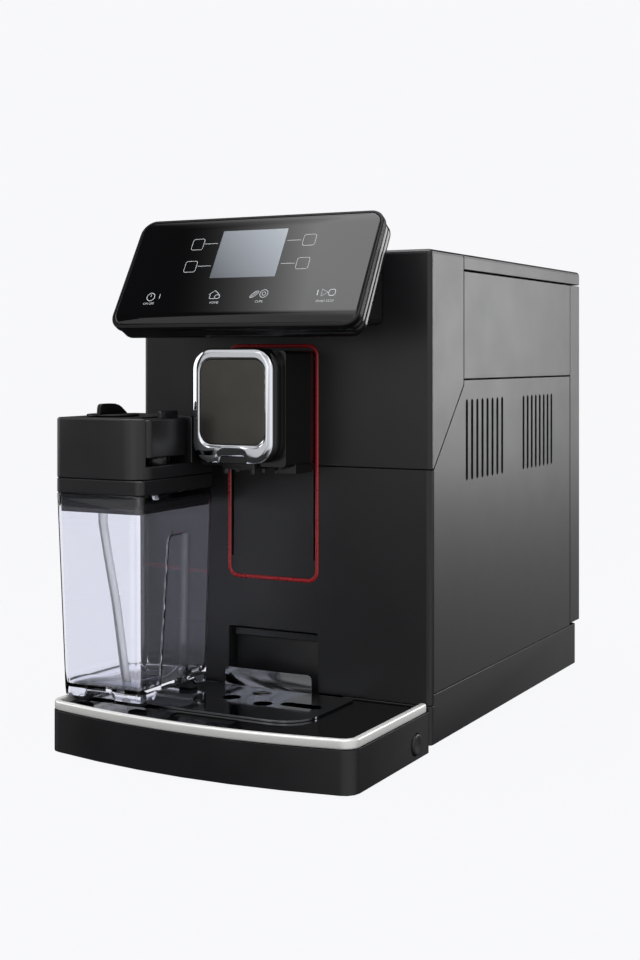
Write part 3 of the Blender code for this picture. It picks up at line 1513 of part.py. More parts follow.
def make_chute():
    """Ground coffee chute with the shelf round it, and the grind dial that turns in the shelf."""
    x, y, h = chute_x, back(chute_y), chute_half
    seat = hopper_shelf_bottom + hopper_shelf_thickness + clearance
    chute = block("powder_chute", (hopper_left, back(hopper_shelf_front), hopper_shelf_bottom),
                  (hopper_right, back(hopper_front) - clearance,
                   hopper_shelf_bottom + hopper_shelf_thickness), "satin_black")
    join(chute, block("chute_pipe", (x - h, y - h, hopper_bottom), (x + h, y + h, seat + chute_rim)))
    h -= chute_wall
    centre = (dial_x, back(dial_y))
    dial_hole = turned("dial_hole",
                       [(dial_stem_radius + clearance, hopper_shelf_bottom - overrun),
                        (dial_stem_radius + clearance, hopper_top)], centre, sides=small_sides)
    cut(chute, dial_hole,
        block("chute_bore", (x - h, y - h, hopper_bottom - overrun),
              (x + h, y + h, seat + chute_rim + overrun)))

    ribs = []
    for i in range(dial_ribs * 2):
        angle = math.pi * i / dial_ribs
        r = dial_radius - (dial_rib_depth if i % 2 else 0)
        ribs.append((centre[0] + r * math.cos(angle), centre[1] + r * math.sin(angle)))
    dial = prism("grind_dial", ribs, "Z", seat, hopper_top + dial_rise, "satin_black", smooth=False)
    stem = turned("dial_stem",
                  [(dial_stem_radius, hopper_shelf_bottom - wall), (dial_stem_radius, seat + wall)],
                  centre, sides=small_sides)
    join(dial, stem)
    carry(pivot("grind_dial_axis", (*centre, seat)), dial)


def make_tank():
    low = shelf_bottom + deck_thickness + clearance

    def plan(inset):
        return rounded(tank_left + inset, back(tank_front + inset), tank_right - inset,
                       back(tank_rear - inset), tank_radius - inset, coarse_steps)

    tank = prism("water_tank", plan(0), "Z", low, tank_top, "clear_plastic")
    t = tank_wall
    hollow = prism("tank_hollow", plan(t), "Z", low + t, tank_top + overrun)
    hole = turned("tank_outlet",
                  [(spigot_hole_radius, low - overrun), (spigot_hole_radius, low + t + clearance)],
                  (spigot_x, back(spigot_y)), sides=small_sides)
    cut(tank, hollow, hole)
    carry(pivot("water_tank_axis", (tank_left, back(tank_rear), low)), tank)


def make_water_and_power():
    centre = (boiler_x, back(boiler_y))
    turned("boiler",
           [(boiler_radius, base_floor), (boiler_radius, boiler_top - boiler_dome),
            (boiler_radius - boiler_dome, boiler_top)], centre, finish="bare_aluminium")
    middle = (pump_x, base_floor + pump_radius)
    a, b = back(pump_front), back(pump_front + pump_length)
    turned("pump",
           [(pump_neck_radius, a - pump_neck_length), (pump_neck_radius, a), (pump_radius, a),
            (pump_radius, b), (pump_neck_radius, b), (pump_neck_radius, b + pump_neck_length)],
           middle, "Y", round_sides, "steel")
    block("power_board", (board_left, back(power_board_y), rear_cover_bottom + wall + clearance),
          (board_right, back(power_board_y) + board_thickness, power_board_top), "board_green")


def main():
    wipe_scene()
    make_feet()
    make_base()
    make_front(slot_pair())
    make_ring()
    make_sides()
    make_rear()
    make_power_module()
    make_top()
    make_panel()
    make_spout()
    make_tray()
    make_carafe()
    make_steam_port()
    make_frame()
    make_brew_group()
    make_grinder()
    make_hopper()
    make_chute()
    make_tank()
    make_water_and_power()


main()
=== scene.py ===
import json
import math

import bmesh
import bpy
import numpy as np
from mathutils import Matrix, Vector

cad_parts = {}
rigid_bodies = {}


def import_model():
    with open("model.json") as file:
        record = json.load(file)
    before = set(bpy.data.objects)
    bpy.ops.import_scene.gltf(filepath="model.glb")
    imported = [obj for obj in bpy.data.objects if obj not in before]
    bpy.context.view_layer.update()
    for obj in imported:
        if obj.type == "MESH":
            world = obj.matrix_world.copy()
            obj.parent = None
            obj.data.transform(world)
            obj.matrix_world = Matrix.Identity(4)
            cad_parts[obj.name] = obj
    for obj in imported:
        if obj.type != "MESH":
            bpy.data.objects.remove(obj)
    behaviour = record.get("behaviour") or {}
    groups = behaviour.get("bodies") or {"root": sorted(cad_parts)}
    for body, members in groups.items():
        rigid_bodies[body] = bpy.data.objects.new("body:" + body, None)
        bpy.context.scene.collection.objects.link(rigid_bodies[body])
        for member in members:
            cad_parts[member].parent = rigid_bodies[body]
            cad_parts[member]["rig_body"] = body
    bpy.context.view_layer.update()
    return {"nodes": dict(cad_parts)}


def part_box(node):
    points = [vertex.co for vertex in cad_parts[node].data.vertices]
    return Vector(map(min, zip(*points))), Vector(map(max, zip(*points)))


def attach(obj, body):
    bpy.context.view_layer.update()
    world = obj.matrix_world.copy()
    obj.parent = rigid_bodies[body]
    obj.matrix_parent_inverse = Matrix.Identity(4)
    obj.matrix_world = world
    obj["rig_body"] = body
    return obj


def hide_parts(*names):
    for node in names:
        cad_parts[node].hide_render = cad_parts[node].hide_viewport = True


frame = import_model()

# All sizes below are in millimetres. Y is measured from the body's front face, which stands here:
bodyFront = -93.0
millimetre = 0.001


# Points and meshes

def toMetres(points):
    # millimetres from the body's front face become metres in the shared frame
    return (np.asarray(points, float) + np.array([0.0, bodyFront, 0.0])) * millimetre


def roundOutline(box, radius, steps=8, inset=0.0):
    # a box (two low sides, two high sides) drawn in by an inset: four quarter circles, each
    # centre one radius in from its corner, joined by straight runs
    lowA, lowB, highA, highB = np.asarray(box, float) + inset * np.array([1, 1, -1, -1])
    r = np.broadcast_to(np.asarray(radius, float), 4)
    centreA = np.array([lowA + r[0], highA - r[1], highA - r[2], lowA + r[3]])
    centreB = np.array([lowB + r[0], lowB + r[1], highB - r[2], highB - r[3]])
    turn = np.radians(np.array([180, 270, 0, 90])[:, None] + np.linspace(0, 90, steps + 1)[None, :])
    a = centreA[:, None] + r[:, None] * np.cos(turn)
    b = centreB[:, None] + r[:, None] * np.sin(turn)
    return np.stack([a.ravel(), b.ravel()], axis=1)


def ringAt(axis, outline, depth):
    # an outline of two coordinates, set at a depth along the third axis
    depths = np.full(len(outline), float(depth))
    order = {"X": (depths, outline[:, 0], outline[:, 1]), "Y": (outline[:, 0], depths, outline[:, 1]),
             "Z": (outline[:, 0], outline[:, 1], depths)}
    return np.stack(order[axis], axis=1)


def softProfile(low, high, roundLow, roundHigh, steps=3, hold=0.35):
    # inset and depth from the low cap to the high cap: a quarter circle at each edge, with a
    # narrow flat strip on both sides of it that keeps the broad faces flat in the shading
    turn = np.linspace(0, math.pi / 2, steps + 1)
    lowPart = np.stack([roundLow * (1 - np.sin(turn)), low + roundLow * (1 - np.cos(turn))], axis=1)
    highPart = np.stack([roundHigh * (1 - np.cos(turn)), high - roundHigh * (1 - np.sin(turn))], axis=1)
    return np.concatenate([[[roundLow + hold, low]], lowPart, [[0, low + roundLow + hold]],
                           [[0, high - roundHigh - hold]], highPart, [[roundHigh + hold, high]]])


def slab(axis, box, radius, profile, steps=8):
    # the same round-cornered outline at each depth of a profile, drawn in by the profile's inset
    radius = np.asarray(radius, float)
    rings = [ringAt(axis, roundOutline(box, np.maximum(radius - inset, 0.05), steps, inset), depth)
             for inset, depth in profile]
    return skin(np.array(rings))


def skin(rings, closed=False, caps=True):
    # quads between neighbouring rings of a grid: (row, column) to (row + 1, column + 1)
    rows, columns = rings.shape[:2]
    i = np.arange(rows if closed else rows - 1)[:, None]
    j = np.arange(columns)[None, :]
    below, beside = (i + 1) % rows, (j + 1) % columns
    quads = np.stack(np.broadcast_arrays(i * columns + j, i * columns + beside,
                                         below * columns + beside, below * columns + j), axis=-1)
    faces = quads.reshape(-1, 4).tolist()
    if caps and not closed:
        faces += [list(range(columns))[::-1], list(range((rows - 1) * columns, rows * columns))]
    return rings.reshape(-1, 3), faces


def sweep(path, normal, section, closed=False, thin=None):
    # each point of the section is carried along the path: its first coordinate to the side of
    # the path (tangent x normal), its second along the normal; thin scales it point by point
    path, section = np.asarray(path, float), np.asarray(section, float)
    if closed:
        tangent = np.roll(path, -1, axis=0) - np.roll(path, 1, axis=0)
    else:
        tangent = np.gradient(path, axis=0)
    tangent /= np.linalg.norm(tangent, axis=1)[:, None]
    normal = np.broadcast_to(np.asarray(normal, float), path.shape)
    side = np.cross(tangent, normal)
    size = np.ones(len(path)) if thin is None else thin
    across = section[None, :, 0, None] * size[:, None, None]
    up = section[None, :, 1, None] * size[:, None, None]
    return skin(path[:, None, :] + across * side[:, None, :] + up * normal[:, None, :], closed)


def unitCircle(sides):
    # cosine and sine of evenly spaced angles
    turn = np.linspace(0, 2 * math.pi, sides, endpoint=False)
    return np.stack([np.cos(turn), np.sin(turn)], axis=1)


def turned(axis, centre, profile, sides=40):
    # a profile of (radius, height) turned about an axis
    circle = unitCircle(sides)
    return skin(np.array([ringAt(axis, np.asarray(centre) + r * circle, h) for r, h in profile]))


def smoothStep(share):
    # from 0 to 1 as 3 squares less 2 cubes, level at both ends
    share = np.clip(share, 0, 1)
    return share * share * (3 - 2 * share)


def merge(*parts):
    # several skins as one mesh
    points, faces, start = [], [], 0
    for partPoints, partFaces in parts:
        points.append(partPoints)
        faces += [[index + start for index in face] for face in partFaces]
        start += len(partPoints)
    return np.concatenate(points), faces


def tilted(part):
    # from the control panel's own directions (across, inwards, up its slope) to the machine's
    points, faces = part
    tilt = math.radians(controlPanel["tilt"])
    x, y, z = points.T
    turnedPoints = np.stack([x, y * math.cos(tilt) + z * math.sin(tilt) - controlPanel["reach"],
                             z * math.cos(tilt) - y * math.sin(tilt) + controlPanel["lowEdge"]], axis=1)
    return turnedPoints, faces


def cutAcross(part, heights):
    # splits every face of a skin along level planes, so that it can bend there
    points, faces = part
    work = bmesh.new()
    corners = [work.verts.new(point) for point in points.tolist()]
    for face in faces:
        work.faces.new([corners[index] for index in face])
    for height in heights:
        bmesh.ops.bisect_plane(work, geom=work.verts[:] + work.edges[:] + work.faces[:],
                               plane_co=(0, 0, height), plane_no=(0, 0, 1))
    work.verts.index_update()
    points = np.array([vert.co[:] for vert in work.verts])
    faces = [[vert.index for vert in face.verts] for face in work.faces]
    work.free()
    return points, faces


def addObject(name, data):
    obj = bpy.data.objects.new(name, data)
    bpy.context.scene.collection.objects.link(obj)
    return obj


def softenEdges(obj, width, steps):
    bevel = obj.modifiers.new("softEdges", "BEVEL")
    bevel.width = width * millimetre
    bevel.segments = steps
    bevel.limit_method = "ANGLE"
    bevel.angle_limit = math.radians(40)
    bevel.harden_normals = True


def placePiece(name, mesh, material, body, replaces, crease, bevel=0.0, steps=2):
    # a smooth-shaded piece that rides on a body of the frame; edges sharper than the crease show
    mesh.shade_smooth()
    mesh.set_sharp_from_angle(angle=math.radians(crease))
    mesh.materials.clear()
    mesh.materials.append(material)
    obj = addObject(name, mesh)
    if bevel:
        softenEdges(obj, bevel, steps)
    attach(obj, body)
    if replaces:
        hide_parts(*replaces)


def addPiece(name, part, material, body, replaces=(), crease=32):
    # puts a skin into the scene, its faces turned outwards
    points, faces = part
    mesh = bpy.data.meshes.new(name)
    mesh.from_pydata(toMetres(points).tolist(), [], faces)
    work = bmesh.new()
    work.from_mesh(mesh)
    bmesh.ops.recalc_face_normals(work, faces=work.faces[:])
    work.to_mesh(mesh)
    work.free()
    placePiece(name, mesh, material, body, replaces, crease)


def dress(node, material, bevel=0.4, steps=2, crease=32):
    # a merged copy of a plain CAD piece with small moulded edges, in the node's place
    source = frame["nodes"][node]
    work = bmesh.new()
    work.from_mesh(source.data)
    bmesh.ops.remove_doubles(work, verts=work.verts[:], dist=1e-6)
    bmesh.ops.dissolve_limit(work, angle_limit=math.radians(0.4), verts=work.verts[:], edges=work.edges[:])
    mesh = bpy.data.meshes.new(node + "_dressed")
    work.to_mesh(mesh)
    work.free()
    placePiece(mesh.name, mesh, material, source["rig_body"], [node], crease, bevel, steps)


# Materials

def linear(code):
    # an sRGB hex colour as linear values
    part = np.array([int(code[i:i + 2], 16) for i in (1, 3, 5)]) / 255
    value = np.where(part <= 0.04045, part / 12.92, ((part + 0.055) / 1.055) ** 2.4)
    return (*value.tolist(), 1.0)


def addNode(tree, kind, settings=None, **inputs):
    node = tree.nodes.new(kind)
    for key, value in (settings or {}).items():
        setattr(node, key, value)
    for key, value in inputs.items():
        socket = node.inputs[int(key[5:]) if key.startswith("input") else key.replace("_", " ")]
        if isinstance(value, bpy.types.NodeSocket):
            tree.links.new(value, socket)
        else:
            socket.default_value = value
    return node


def emptyTree(owner):
    # the cleared node tree of a material or world
    owner.use_nodes = True
    owner.node_tree.nodes.clear()
    return owner.node_tree


def perMetre(size):
    # texture scale for a pattern of that size in millimetres
    return 1 / (size * millimetre)


def makeMaterial(name, look):
    # a Principled surface: cloudy colour, roughness that wanders, and grain or lines as bump
    material = bpy.data.materials.new(name)
    tree = emptyTree(material)
    place = addNode(tree, "ShaderNodeTexCoord").outputs["Object"]
    stretched = addNode(tree, "ShaderNodeMapping", Vector=place, Scale=look.get("stretch", (1, 1, 1)))
    cloud = addNode(tree, "ShaderNodeTexNoise", Vector=place, Scale=perMetre(look["cloud"]), Detail=3.0)
    grain = addNode(tree, "ShaderNodeTexNoise", Vector=stretched.outputs[0], Scale=perMetre(look["grain"]),
                    Detail=2.0)
    colour = addNode(tree, "ShaderNodeMix", {"data_type": "RGBA"}, Factor=cloud.outputs[0],
                     input6=linear(look["colour"]), input7=linear(look["shade"]))
    low, high = look["roughness"]
    blend = addNode(tree, "ShaderNodeMath", {"operation": "MULTIPLY"},
                    input0=cloud.outputs[0], input1=grain.outputs[0])
    rough = addNode(tree, "ShaderNodeMapRange", Value=blend.outputs[0], From_Min=0.12, From_Max=0.38,
                    To_Min=low, To_Max=high)
    bump = addNode(tree, "ShaderNodeBump", Height=grain.outputs[0], Strength=look["bump"],
                   Distance=look["depth"] * millimetre)
    shader = addNode(tree, "ShaderNodeBsdfPrincipled", Base_Color=colour.outputs[2],
                     Roughness=rough.outputs[0], Normal=bump.outputs[0], Metallic=look.get("metallic", 0.0))
    for key, value in look.get("shader", {}).items():
        shader.inputs[key].default_value = value
    addNode(tree, "ShaderNodeOutputMaterial", Surface=shader.outputs[0])
    material.diffuse_color = linear(look["colour"])
    return material


# What each finish is, and what a user would change. The cloud, the grain and the depth of its bump are
# sizes in millimetres, and stretch draws the grain out into lines along the axis with the small share.
looks = {
    # ABS from an etched mould: satin black, a soft broad sheen; the real grain of 0.3 mm is drawn at 0.7
    "mouldedAbsSatin": {"colour": "#141416", "shade": "#1a1a1d", "roughness": (0.34, 0.42), "grain": 0.7,
                        "cloud": 40, "bump": 0.25, "depth": 0.03, "shader": {"IOR": 1.5}},
    # ABS from a polished mould: deep black with a clean reflection and a faint ripple of 6 mm
    "mouldedAbsGloss": {"colour": "#08080a", "shade": "#0b0b0d", "roughness": (0.05, 0.09), "grain": 6,
                        "cloud": 25, "bump": 0.05, "depth": 0.05, "shader": {"IOR": 1.5}},
    # ABS from a stoned mould: black, its reflections just blurred, so that a lamp gives it a pale broad band
    "mouldedAbsSleek": {"colour": "#101012", "shade": "#151517", "roughness": (0.14, 0.20), "grain": 1.0,
                        "cloud": 30, "bump": 0.1, "depth": 0.02, "shader": {"IOR": 1.5}},
    # ABS from an etched mould on dark, shaded pieces: the satin black made darker and less shiny as painted
    # shade, so black with hardly any shine
    "mouldedAbsPaintedShade": {"colour": "#0a0a0b", "shade": "#0e0e10", "roughness": (0.30, 0.38), "grain": 0.7,
                       "cloud": 30, "bump": 0.2, "depth": 0.02,
                       "shader": {"IOR": 1.5, "Specular IOR Level": 0.22}},
    # ABS electroplated with chrome: a mirror with slight waviness
    "chromePlatedAbs": {"colour": "#dfe1e6", "shade": "#d6d9df", "roughness": (0.05, 0.10), "metallic": 1.0,
                        "grain": 9, "cloud": 30, "bump": 0.04, "depth": 0.05},
    # silver lacquer over ABS: aluminium flakes drawn at 0.6 mm, bright from every side and hardly a mirror
    "silverLacquer": {"colour": "#f2f2f0", "shade": "#e6e6e4", "roughness": (0.30, 0.40), "metallic": 0.35,
                      "grain": 0.6, "cloud": 18, "bump": 0.12, "depth": 0.02},
    # stainless sheet, polished after stamping: a mirror with fine lines along its length
    "polishedStainless": {"colour": "#97999b", "shade": "#8d8f92", "roughness": (0.05, 0.10),
                          "metallic": 1.0, "grain": 1.2, "cloud": 22, "bump": 0.08, "depth": 0.02,
                          "stretch": (0.06, 1, 1)},
    # lacquered trim cord: dark red with a soft shine
    "redLacquer": {"colour": "#a0121a", "shade": "#901017", "roughness": (0.25, 0.35), "grain": 2,
                   "cloud": 20, "bump": 0.06, "depth": 0.03, "shader": {"IOR": 1.5}},
    # pressed aluminium badge, anodised dark bronze and finely brushed up and down, lines drawn at 0.5 mm
    "anodisedBronze": {"colour": "#5b5854", "shade": "#504d49", "roughness": (0.20, 0.26), "metallic": 0.9,
                       "grain": 0.5, "cloud": 14, "bump": 0.10, "depth": 0.02, "stretch": (1, 1, 0.05)},
    # toughened glass with black back print: near mirror, no grain, only a wide faint wave
    "toughenedGlass": {"colour": "#050506", "shade": "#060608", "roughness": (0.03, 0.06), "grain": 60,
                       "cloud": 60, "bump": 0.02, "depth": 0.05, "shader": {"IOR": 1.52}},
    # silicone tube: milky white, soft skin
    "milkySilicone": {"colour": "#fbfbfa", "shade": "#f3f3f1", "roughness": (0.38, 0.5), "grain": 1.5,
                      "cloud": 12, "bump": 0.1, "depth": 0.03,
                      "shader": {"IOR": 1.41, "Transmission Weight": 0.85}},
    # nitrile rubber: dull black with a dry, slightly dusty surface
    "nitrileRubber": {"colour": "#17171a", "shade": "#232326", "roughness": (0.7, 0.9), "grain": 0.8,
                      "cloud": 6, "bump": 0.5, "depth": 0.05, "shader": {"IOR": 1.52}},
    # glass-filled nylon: mid grey with the cloudy flow marks of the fibres
    "glassFilledNylon": {"colour": "#57595c", "shade": "#6a6c6f", "roughness": (0.42, 0.6), "grain": 1.4,
                         "cloud": 9, "bump": 0.3, "depth": 0.04, "shader": {"IOR": 1.53}},
    # acetal gear plastic: off-white, waxy
    "acetal": {"colour": "#e4e2da", "shade": "#d9d6cc", "roughness": (0.32, 0.42), "grain": 1.6,
               "cloud": 10, "bump": 0.1, "depth": 0.03, "shader": {"IOR": 1.48}},
    # die-cast aluminium: matt grey metal with a sandy skin of 1 mm
    "castAluminium": {"colour": "#b2b4b7", "shade": "#9c9ea2", "roughness": (0.36, 0.52), "metallic": 1.0,
                      "grain": 1.0, "cloud": 12, "bump": 0.3, "depth": 0.05},
    # zinc-plated steel can: grey metal with drawn lines round it
    "zincedSteel": {"colour": "#a3a5a6", "shade": "#8d9092", "roughness": (0.26, 0.4), "metallic": 1.0,
                    "grain": 1.5, "cloud": 10, "bump": 0.15, "depth": 0.03, "stretch": (0.1, 0.1, 1)},
    # glass-fibre board under green lacquer: weave of 1.2 mm just showing
    "fibreglassBoard": {"colour": "#12502c", "shade": "#0e4526", "roughness": (0.3, 0.45), "grain": 1.2,
                        "cloud": 8, "bump": 0.25, "depth": 0.03, "shader": {"IOR": 1.55}},
    # red rocker of a mains switch, moulded polycarbonate
    "redRocker": {"colour": "#b5161a", "shade": "#a31216", "roughness": (0.2, 0.3), "grain": 1.5,
                  "cloud": 10, "bump": 0.05, "depth": 0.02, "shader": {"IOR": 1.58}},
    # pale grey screen-printed ink, drawn a little wider than its real 0.3 mm lines
    "paleInk": {"colour": "#c4c6ca", "shade": "#b4b6bb", "roughness": (0.4, 0.5), "grain": 0.8,
                "cloud": 10, "bump": 0.05, "depth": 0.01, "shader": {"IOR": 1.45}},
    # copolyester, injection moulded and clear: a smoky lavender tint that deepens at the edges
    "clearCopolyester": {"colour": "#f8f9ff", "shade": "#f4f5fd", "roughness": (0.0, 0.03), "grain": 25,
                         "cloud": 40, "bump": 0.03, "depth": 0.05,
                         "shader": {"IOR": 1.45, "Transmission Weight": 1.0}},
    # smoked polycarbonate of the hopper: brown-black and see-through
    "smokedPolycarbonate": {"colour": "#5c5650", "shade": "#544e48", "roughness": (0.03, 0.08), "grain": 12,
                            "cloud": 30, "bump": 0.04, "depth": 0.05,
                            "shader": {"IOR": 1.58, "Transmission Weight": 0.9}},
}
finish = {name: makeMaterial(name, look) for name, look in looks.items()}


# the display's grey, from dark to the pale grey of its painted highlight, and how far that painted highlight
# reaches across it and up it
displayLook = {"dark": "#50555b", "paintedHighlight": "#a3a9b2", "across": 0.55, "up": 0.45, "pixel": 0.6}


def displayMaterial():
    # liquid-crystal display seen through the glass: grey, with a painted highlight that makes it paler
    # towards its top right corner; its pixels of 0.1 mm are drawn at 0.6
    d = displayLook
    low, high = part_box("display_screen")
    material = bpy.data.materials.new("liquidCrystalDisplay")
    tree = emptyTree(material)
    place = addNode(tree, "ShaderNodeTexCoord").outputs["Object"]
    parts = addNode(tree, "ShaderNodeSeparateXYZ", Vector=place)
    across = addNode(tree, "ShaderNodeMapRange", Value=parts.outputs[0], From_Min=low.x, From_Max=high.x,
                     To_Max=d["across"])
    up = addNode(tree, "ShaderNodeMapRange", Value=parts.outputs[2], From_Min=low.z, From_Max=high.z,
                 To_Max=d["up"])
    # painted highlight: the grey grows paler across and up the screen, towards its top right corner
    total = addNode(tree, "ShaderNodeMath", {"operation": "ADD"}, input0=across.outputs[0],
                    input1=up.outputs[0])
    colour = addNode(tree, "ShaderNodeMix", {"data_type": "RGBA"}, Factor=total.outputs[0],
                     input6=linear(d["dark"]), input7=linear(d["paintedHighlight"]))
    pixels = addNode(tree, "ShaderNodeTexNoise", Vector=place, Scale=perMetre(d["pixel"]), Detail=1.0)
    bump = addNode(tree, "ShaderNodeBump", Height=pixels.outputs[0], Strength=0.05,
                   Distance=0.01 * millimetre)
    shader = addNode(tree, "ShaderNodeBsdfPrincipled", Base_Color=colour.outputs[2], Roughness=0.12,
                     Normal=bump.outputs[0])
    addNode(tree, "ShaderNodeOutputMaterial", Surface=shader.outputs[0])
    return material


print("materials made")


# Control panel

controlPanel = {
    # degrees, and where its lower edge stands: how far before the body's face, and how high
    "tilt": 30.2, "reach": 68.6, "lowEdge": 278.8,
    "halfWidth": 90.6, "height": 81.3, "radius": 8.5, "glass": 1.2,
    "bentStrip": 9.0, "bend": 0.7,  # the lowest strip of the glass, and how far it falls back
    # the bezel's width and its play round the glass, then inset and depth from its front to its back
    "rim": 2.2, "lowRim": 3.0, "play": 0.3,
    "bezel": [(0.55, 0.3), (0.2, 0.45), (0.0, 0.9), (0.0, 1.45), (0.45, 1.6), (0.45, 1.85), (0.0, 2.0),
              (0.0, 2.6), (0.45, 2.75), (0.45, 3.0), (0.0, 3.15), (0.0, 4.55), (0.4, 5.0)],
    "bezelInside": [(0, 5.0), (0, 1.6), (-0.05, 0.35)],
    "housingInset": 1.0, "housingFront": 5.3, "housingBack": 16.9,
    "display": (-24.7, 34.6, 24.7, 71.9),
}


def panelGlass():
    # a flat sheet whose lowest strip falls back: by a square over its first fifth, then evenly
    p = controlPanel
    box = (-p["halfWidth"], 0, p["halfWidth"], p["height"])
    profile = [(1.2, p["glass"]), (0, p["glass"]), (0, 0.75), (0.12, 0.35), (0.4, 0.1), (0.85, 0.0)]
    heights = p["bentStrip"] * np.array([0.12, 0.4, 0.7, 0.8, 0.84, 0.88, 0.92, 0.96, 1.0])
    points, faces = cutAcross(slab("Y", box, p["radius"], profile), heights)
    below = np.clip((p["bentStrip"] - points[:, 2]) / p["bentStrip"], 0, 1)
    sunk = np.where(below < 0.2, below ** 2 / 0.4, below - 0.1) / 0.9
    points[:, 1] += np.where(points[:, 1] < p["glass"] / 2, sunk * p["bend"], 0)
    return points, faces


def panelHousing(box, radius):
    # deep black shell behind the bezel, with a shallow step round its middle
    start, end = controlPanel["housingFront"], controlPanel["housingBack"]
    profile = [(3, start), (0.35, start), (0.0, start + 0.4), (0.0, start + 4.2), (0.35, start + 4.45),
               (0.35, start + 4.7), (0.1, start + 5.0), (0.1, end - 2.4), (0.5, end - 1.1), (1.5, end - 0.2),
               (3, end)]
    return slab("Y", box, radius, profile)


def makeControlPanel():
    p = controlPanel
    half, rim, play, radius = p["halfWidth"], p["rim"], p["play"], p["radius"]
    addPiece("touchGlass", tilted(panelGlass()), finish["toughenedGlass"], "root",
             ["control_panel_glass"], crease=40)

    # bezel: one closed ring, its outside with two fine ridges that show under the glass
    outside = (-half - rim, -p["lowRim"], half + rim, p["height"] + rim)
    inside = (-half - play, -play, half + play, p["height"] + play)
    rings = [ringAt("Y", roundOutline(box, radius + grown - inset, inset=inset), depth)
             for box, grown, profile in ((outside, rim, p["bezel"]), (inside, play, p["bezelInside"]))
             for inset, depth in profile]
    addPiece("panelBezel", tilted(skin(np.array(rings), closed=True)), finish["mouldedAbsPaintedShade"], "root",
             ["control_panel_bezel"], crease=50)

    inset = p["housingInset"]
    box = np.array(outside) + inset * np.array([1, 1, -1, -1])
    addPiece("panelHousing", tilted(panelHousing(box, radius + rim - inset)), finish["mouldedAbsSleek"],
             "root", ["control_panel_housing"], crease=50)

    sheet = [(0.5, 0.02), (0.0, 0.02), (0.0, 0.0), (0.25, -0.02), (0.5, -0.02)]
    addPiece("display", tilted(slab("Y", p["display"], 0.6, sheet, 3)), displayMaterial(), "root",
             ["display_screen"])
    dress("control_panel_mount", finish["mouldedAbsSatin"], bevel=1.2, steps=3)


makeControlPanel()
print("control panel made")


# Print on the glass: four squares with their lead lines, the key signs and the words below them

panelPrint = {
    "proud": 0.03, "thickness": 0.02,
    # middles of the squares (across, up the slope), half their size, corner and line; then where their
    # lead lines start, pass and end, and how far above the middle
    "squares": [(-42.1, 62.0), (-42.4, 44.2), (42.8, 62.1), (42.7, 44.1)],
    "squareHalf": np.array([4.5, 4.3]), "squareRound": 1.5, "squareLine": 0.36,
    "lead": (26.6, 31, 36.9), "leadUp": 0.2,
    # middles of the key signs
    "power": (-66.2, 20.9), "home": (-16.8, 21.6), "bean": (13.6, 21.2), "cup": (20.6, 21.6),
    "start": (65.9, 21.3),
    # the words, their middle, their foot and the size of the letters
    "words": [("ON OFF", -66.4, 14.9, 2.4), ("HOME", -15.2, 14.7, 2.4), ("CUPS", 18.4, 14.9, 2.4),
              ("START STOP", 66.2, 14.3, 2.3)],
}


def printedLine(points, width, closed):
    # a flat strip along a path drawn on the glass
    path = ringAt("Y", np.asarray(points, float), -panelPrint["proud"])
    half, thickness = width / 2, panelPrint["thickness"]
    section = np.array([[-half, 0], [half, 0], [half, thickness], [-half, thickness]])
    return sweep(path, (0, 1, 0), section, closed)


def squaresAndLeads():
    # the drawn lines as (points, width, whether they close)
    q = panelPrint
    marks = []
    for middle in q["squares"]:
        square = np.concatenate([middle - q["squareHalf"], middle + q["squareHalf"]])
        marks.append((roundOutline(square, q["squareRound"], 4), q["squareLine"], True))
        side, height = math.copysign(1, middle[0]), middle[1] + q["leadUp"]
        marks.append(([(side * x, height) for x in q["lead"]], q["squareLine"], False))
    return marks


def keySigns():
    # the same for the signs, each drawn about its own middle
    ring = unitCircle(24)
    oval = ring @ np.array([[2.56, 1.0], [1.2, 2.3]])  # a circle pulled into a slanting oval
    signs = [
        # power: a ring with a stroke in it, and a bar beside it
        ("power", 3.0 * ring, 0.5, True),
        ("power", [(0, 0), (0, 0.9), (0, 1.9)], 0.5, False),
        ("power", [(7.0, -1.4), (7.0, 0.3), (7.0, 2.1)], 0.45, False),
        # home: a house with a cup before it
        ("home", [(-3, -3), (-3, 0), (-4, 0), (0, 3.2), (4, 0)], 0.45, False),
        ("home", [(-3, -3), (-0.6, -3), (1.0, -3)], 0.45, False),
        ("home", roundOutline((0.8, -3.0, 4.6, -0.2), 1.3, 3), 0.45, True),
        # cups: a bean with its line, and a cup seen from above
        ("bean", oval, 0.45, True),
        ("bean", [(-1.8, -1.6), (0, 0), (1.8, 1.6)], 0.4, False),
        ("cup", 2.9 * ring, 0.45, True),
        ("cup", 1.3 * ring, 0.4, True),
        # start and stop: a bar, a triangle and a rounded square
        ("start", [(-6.3, -1.9), (-6.3, 0.1), (-6.3, 2.1)], 0.7, False),
        ("start", [(-3.3, -2.4), (1.3, 0), (-3.3, 2.5)], 0.5, True),
        ("start", roundOutline((1.7, -2.3, 6.3, 2.3), 1.6, 3), 0.5, True),
    ]
    return [(np.asarray(points) + panelPrint[sign], width, closed) for sign, points, width, closed in signs]


def printedWords(words, across, height, size):
    # plain words, turned into a thin mesh and laid on the glass
    curve = bpy.data.curves.new("words", "FONT")
    curve.body = words
    curve.size = size
    curve.align_x = "CENTER"
    curve.resolution_u = 2
    curve.extrude = panelPrint["thickness"] / 2
    label = addObject("words", curve)
    bpy.context.view_layer.update()
    flat = label.to_mesh()
    points = np.zeros(len(flat.vertices) * 3)
    flat.vertices.foreach_get("co", points)
    x, y, z = points.reshape(-1, 3).T
    faces = [list(polygon.vertices) for polygon in flat.polygons]
    label.to_mesh_clear()
    bpy.data.objects.remove(label)
    depth = panelPrint["proud"] - curve.extrude
    return np.stack([x + across, -z - depth, y + height], axis=1), faces


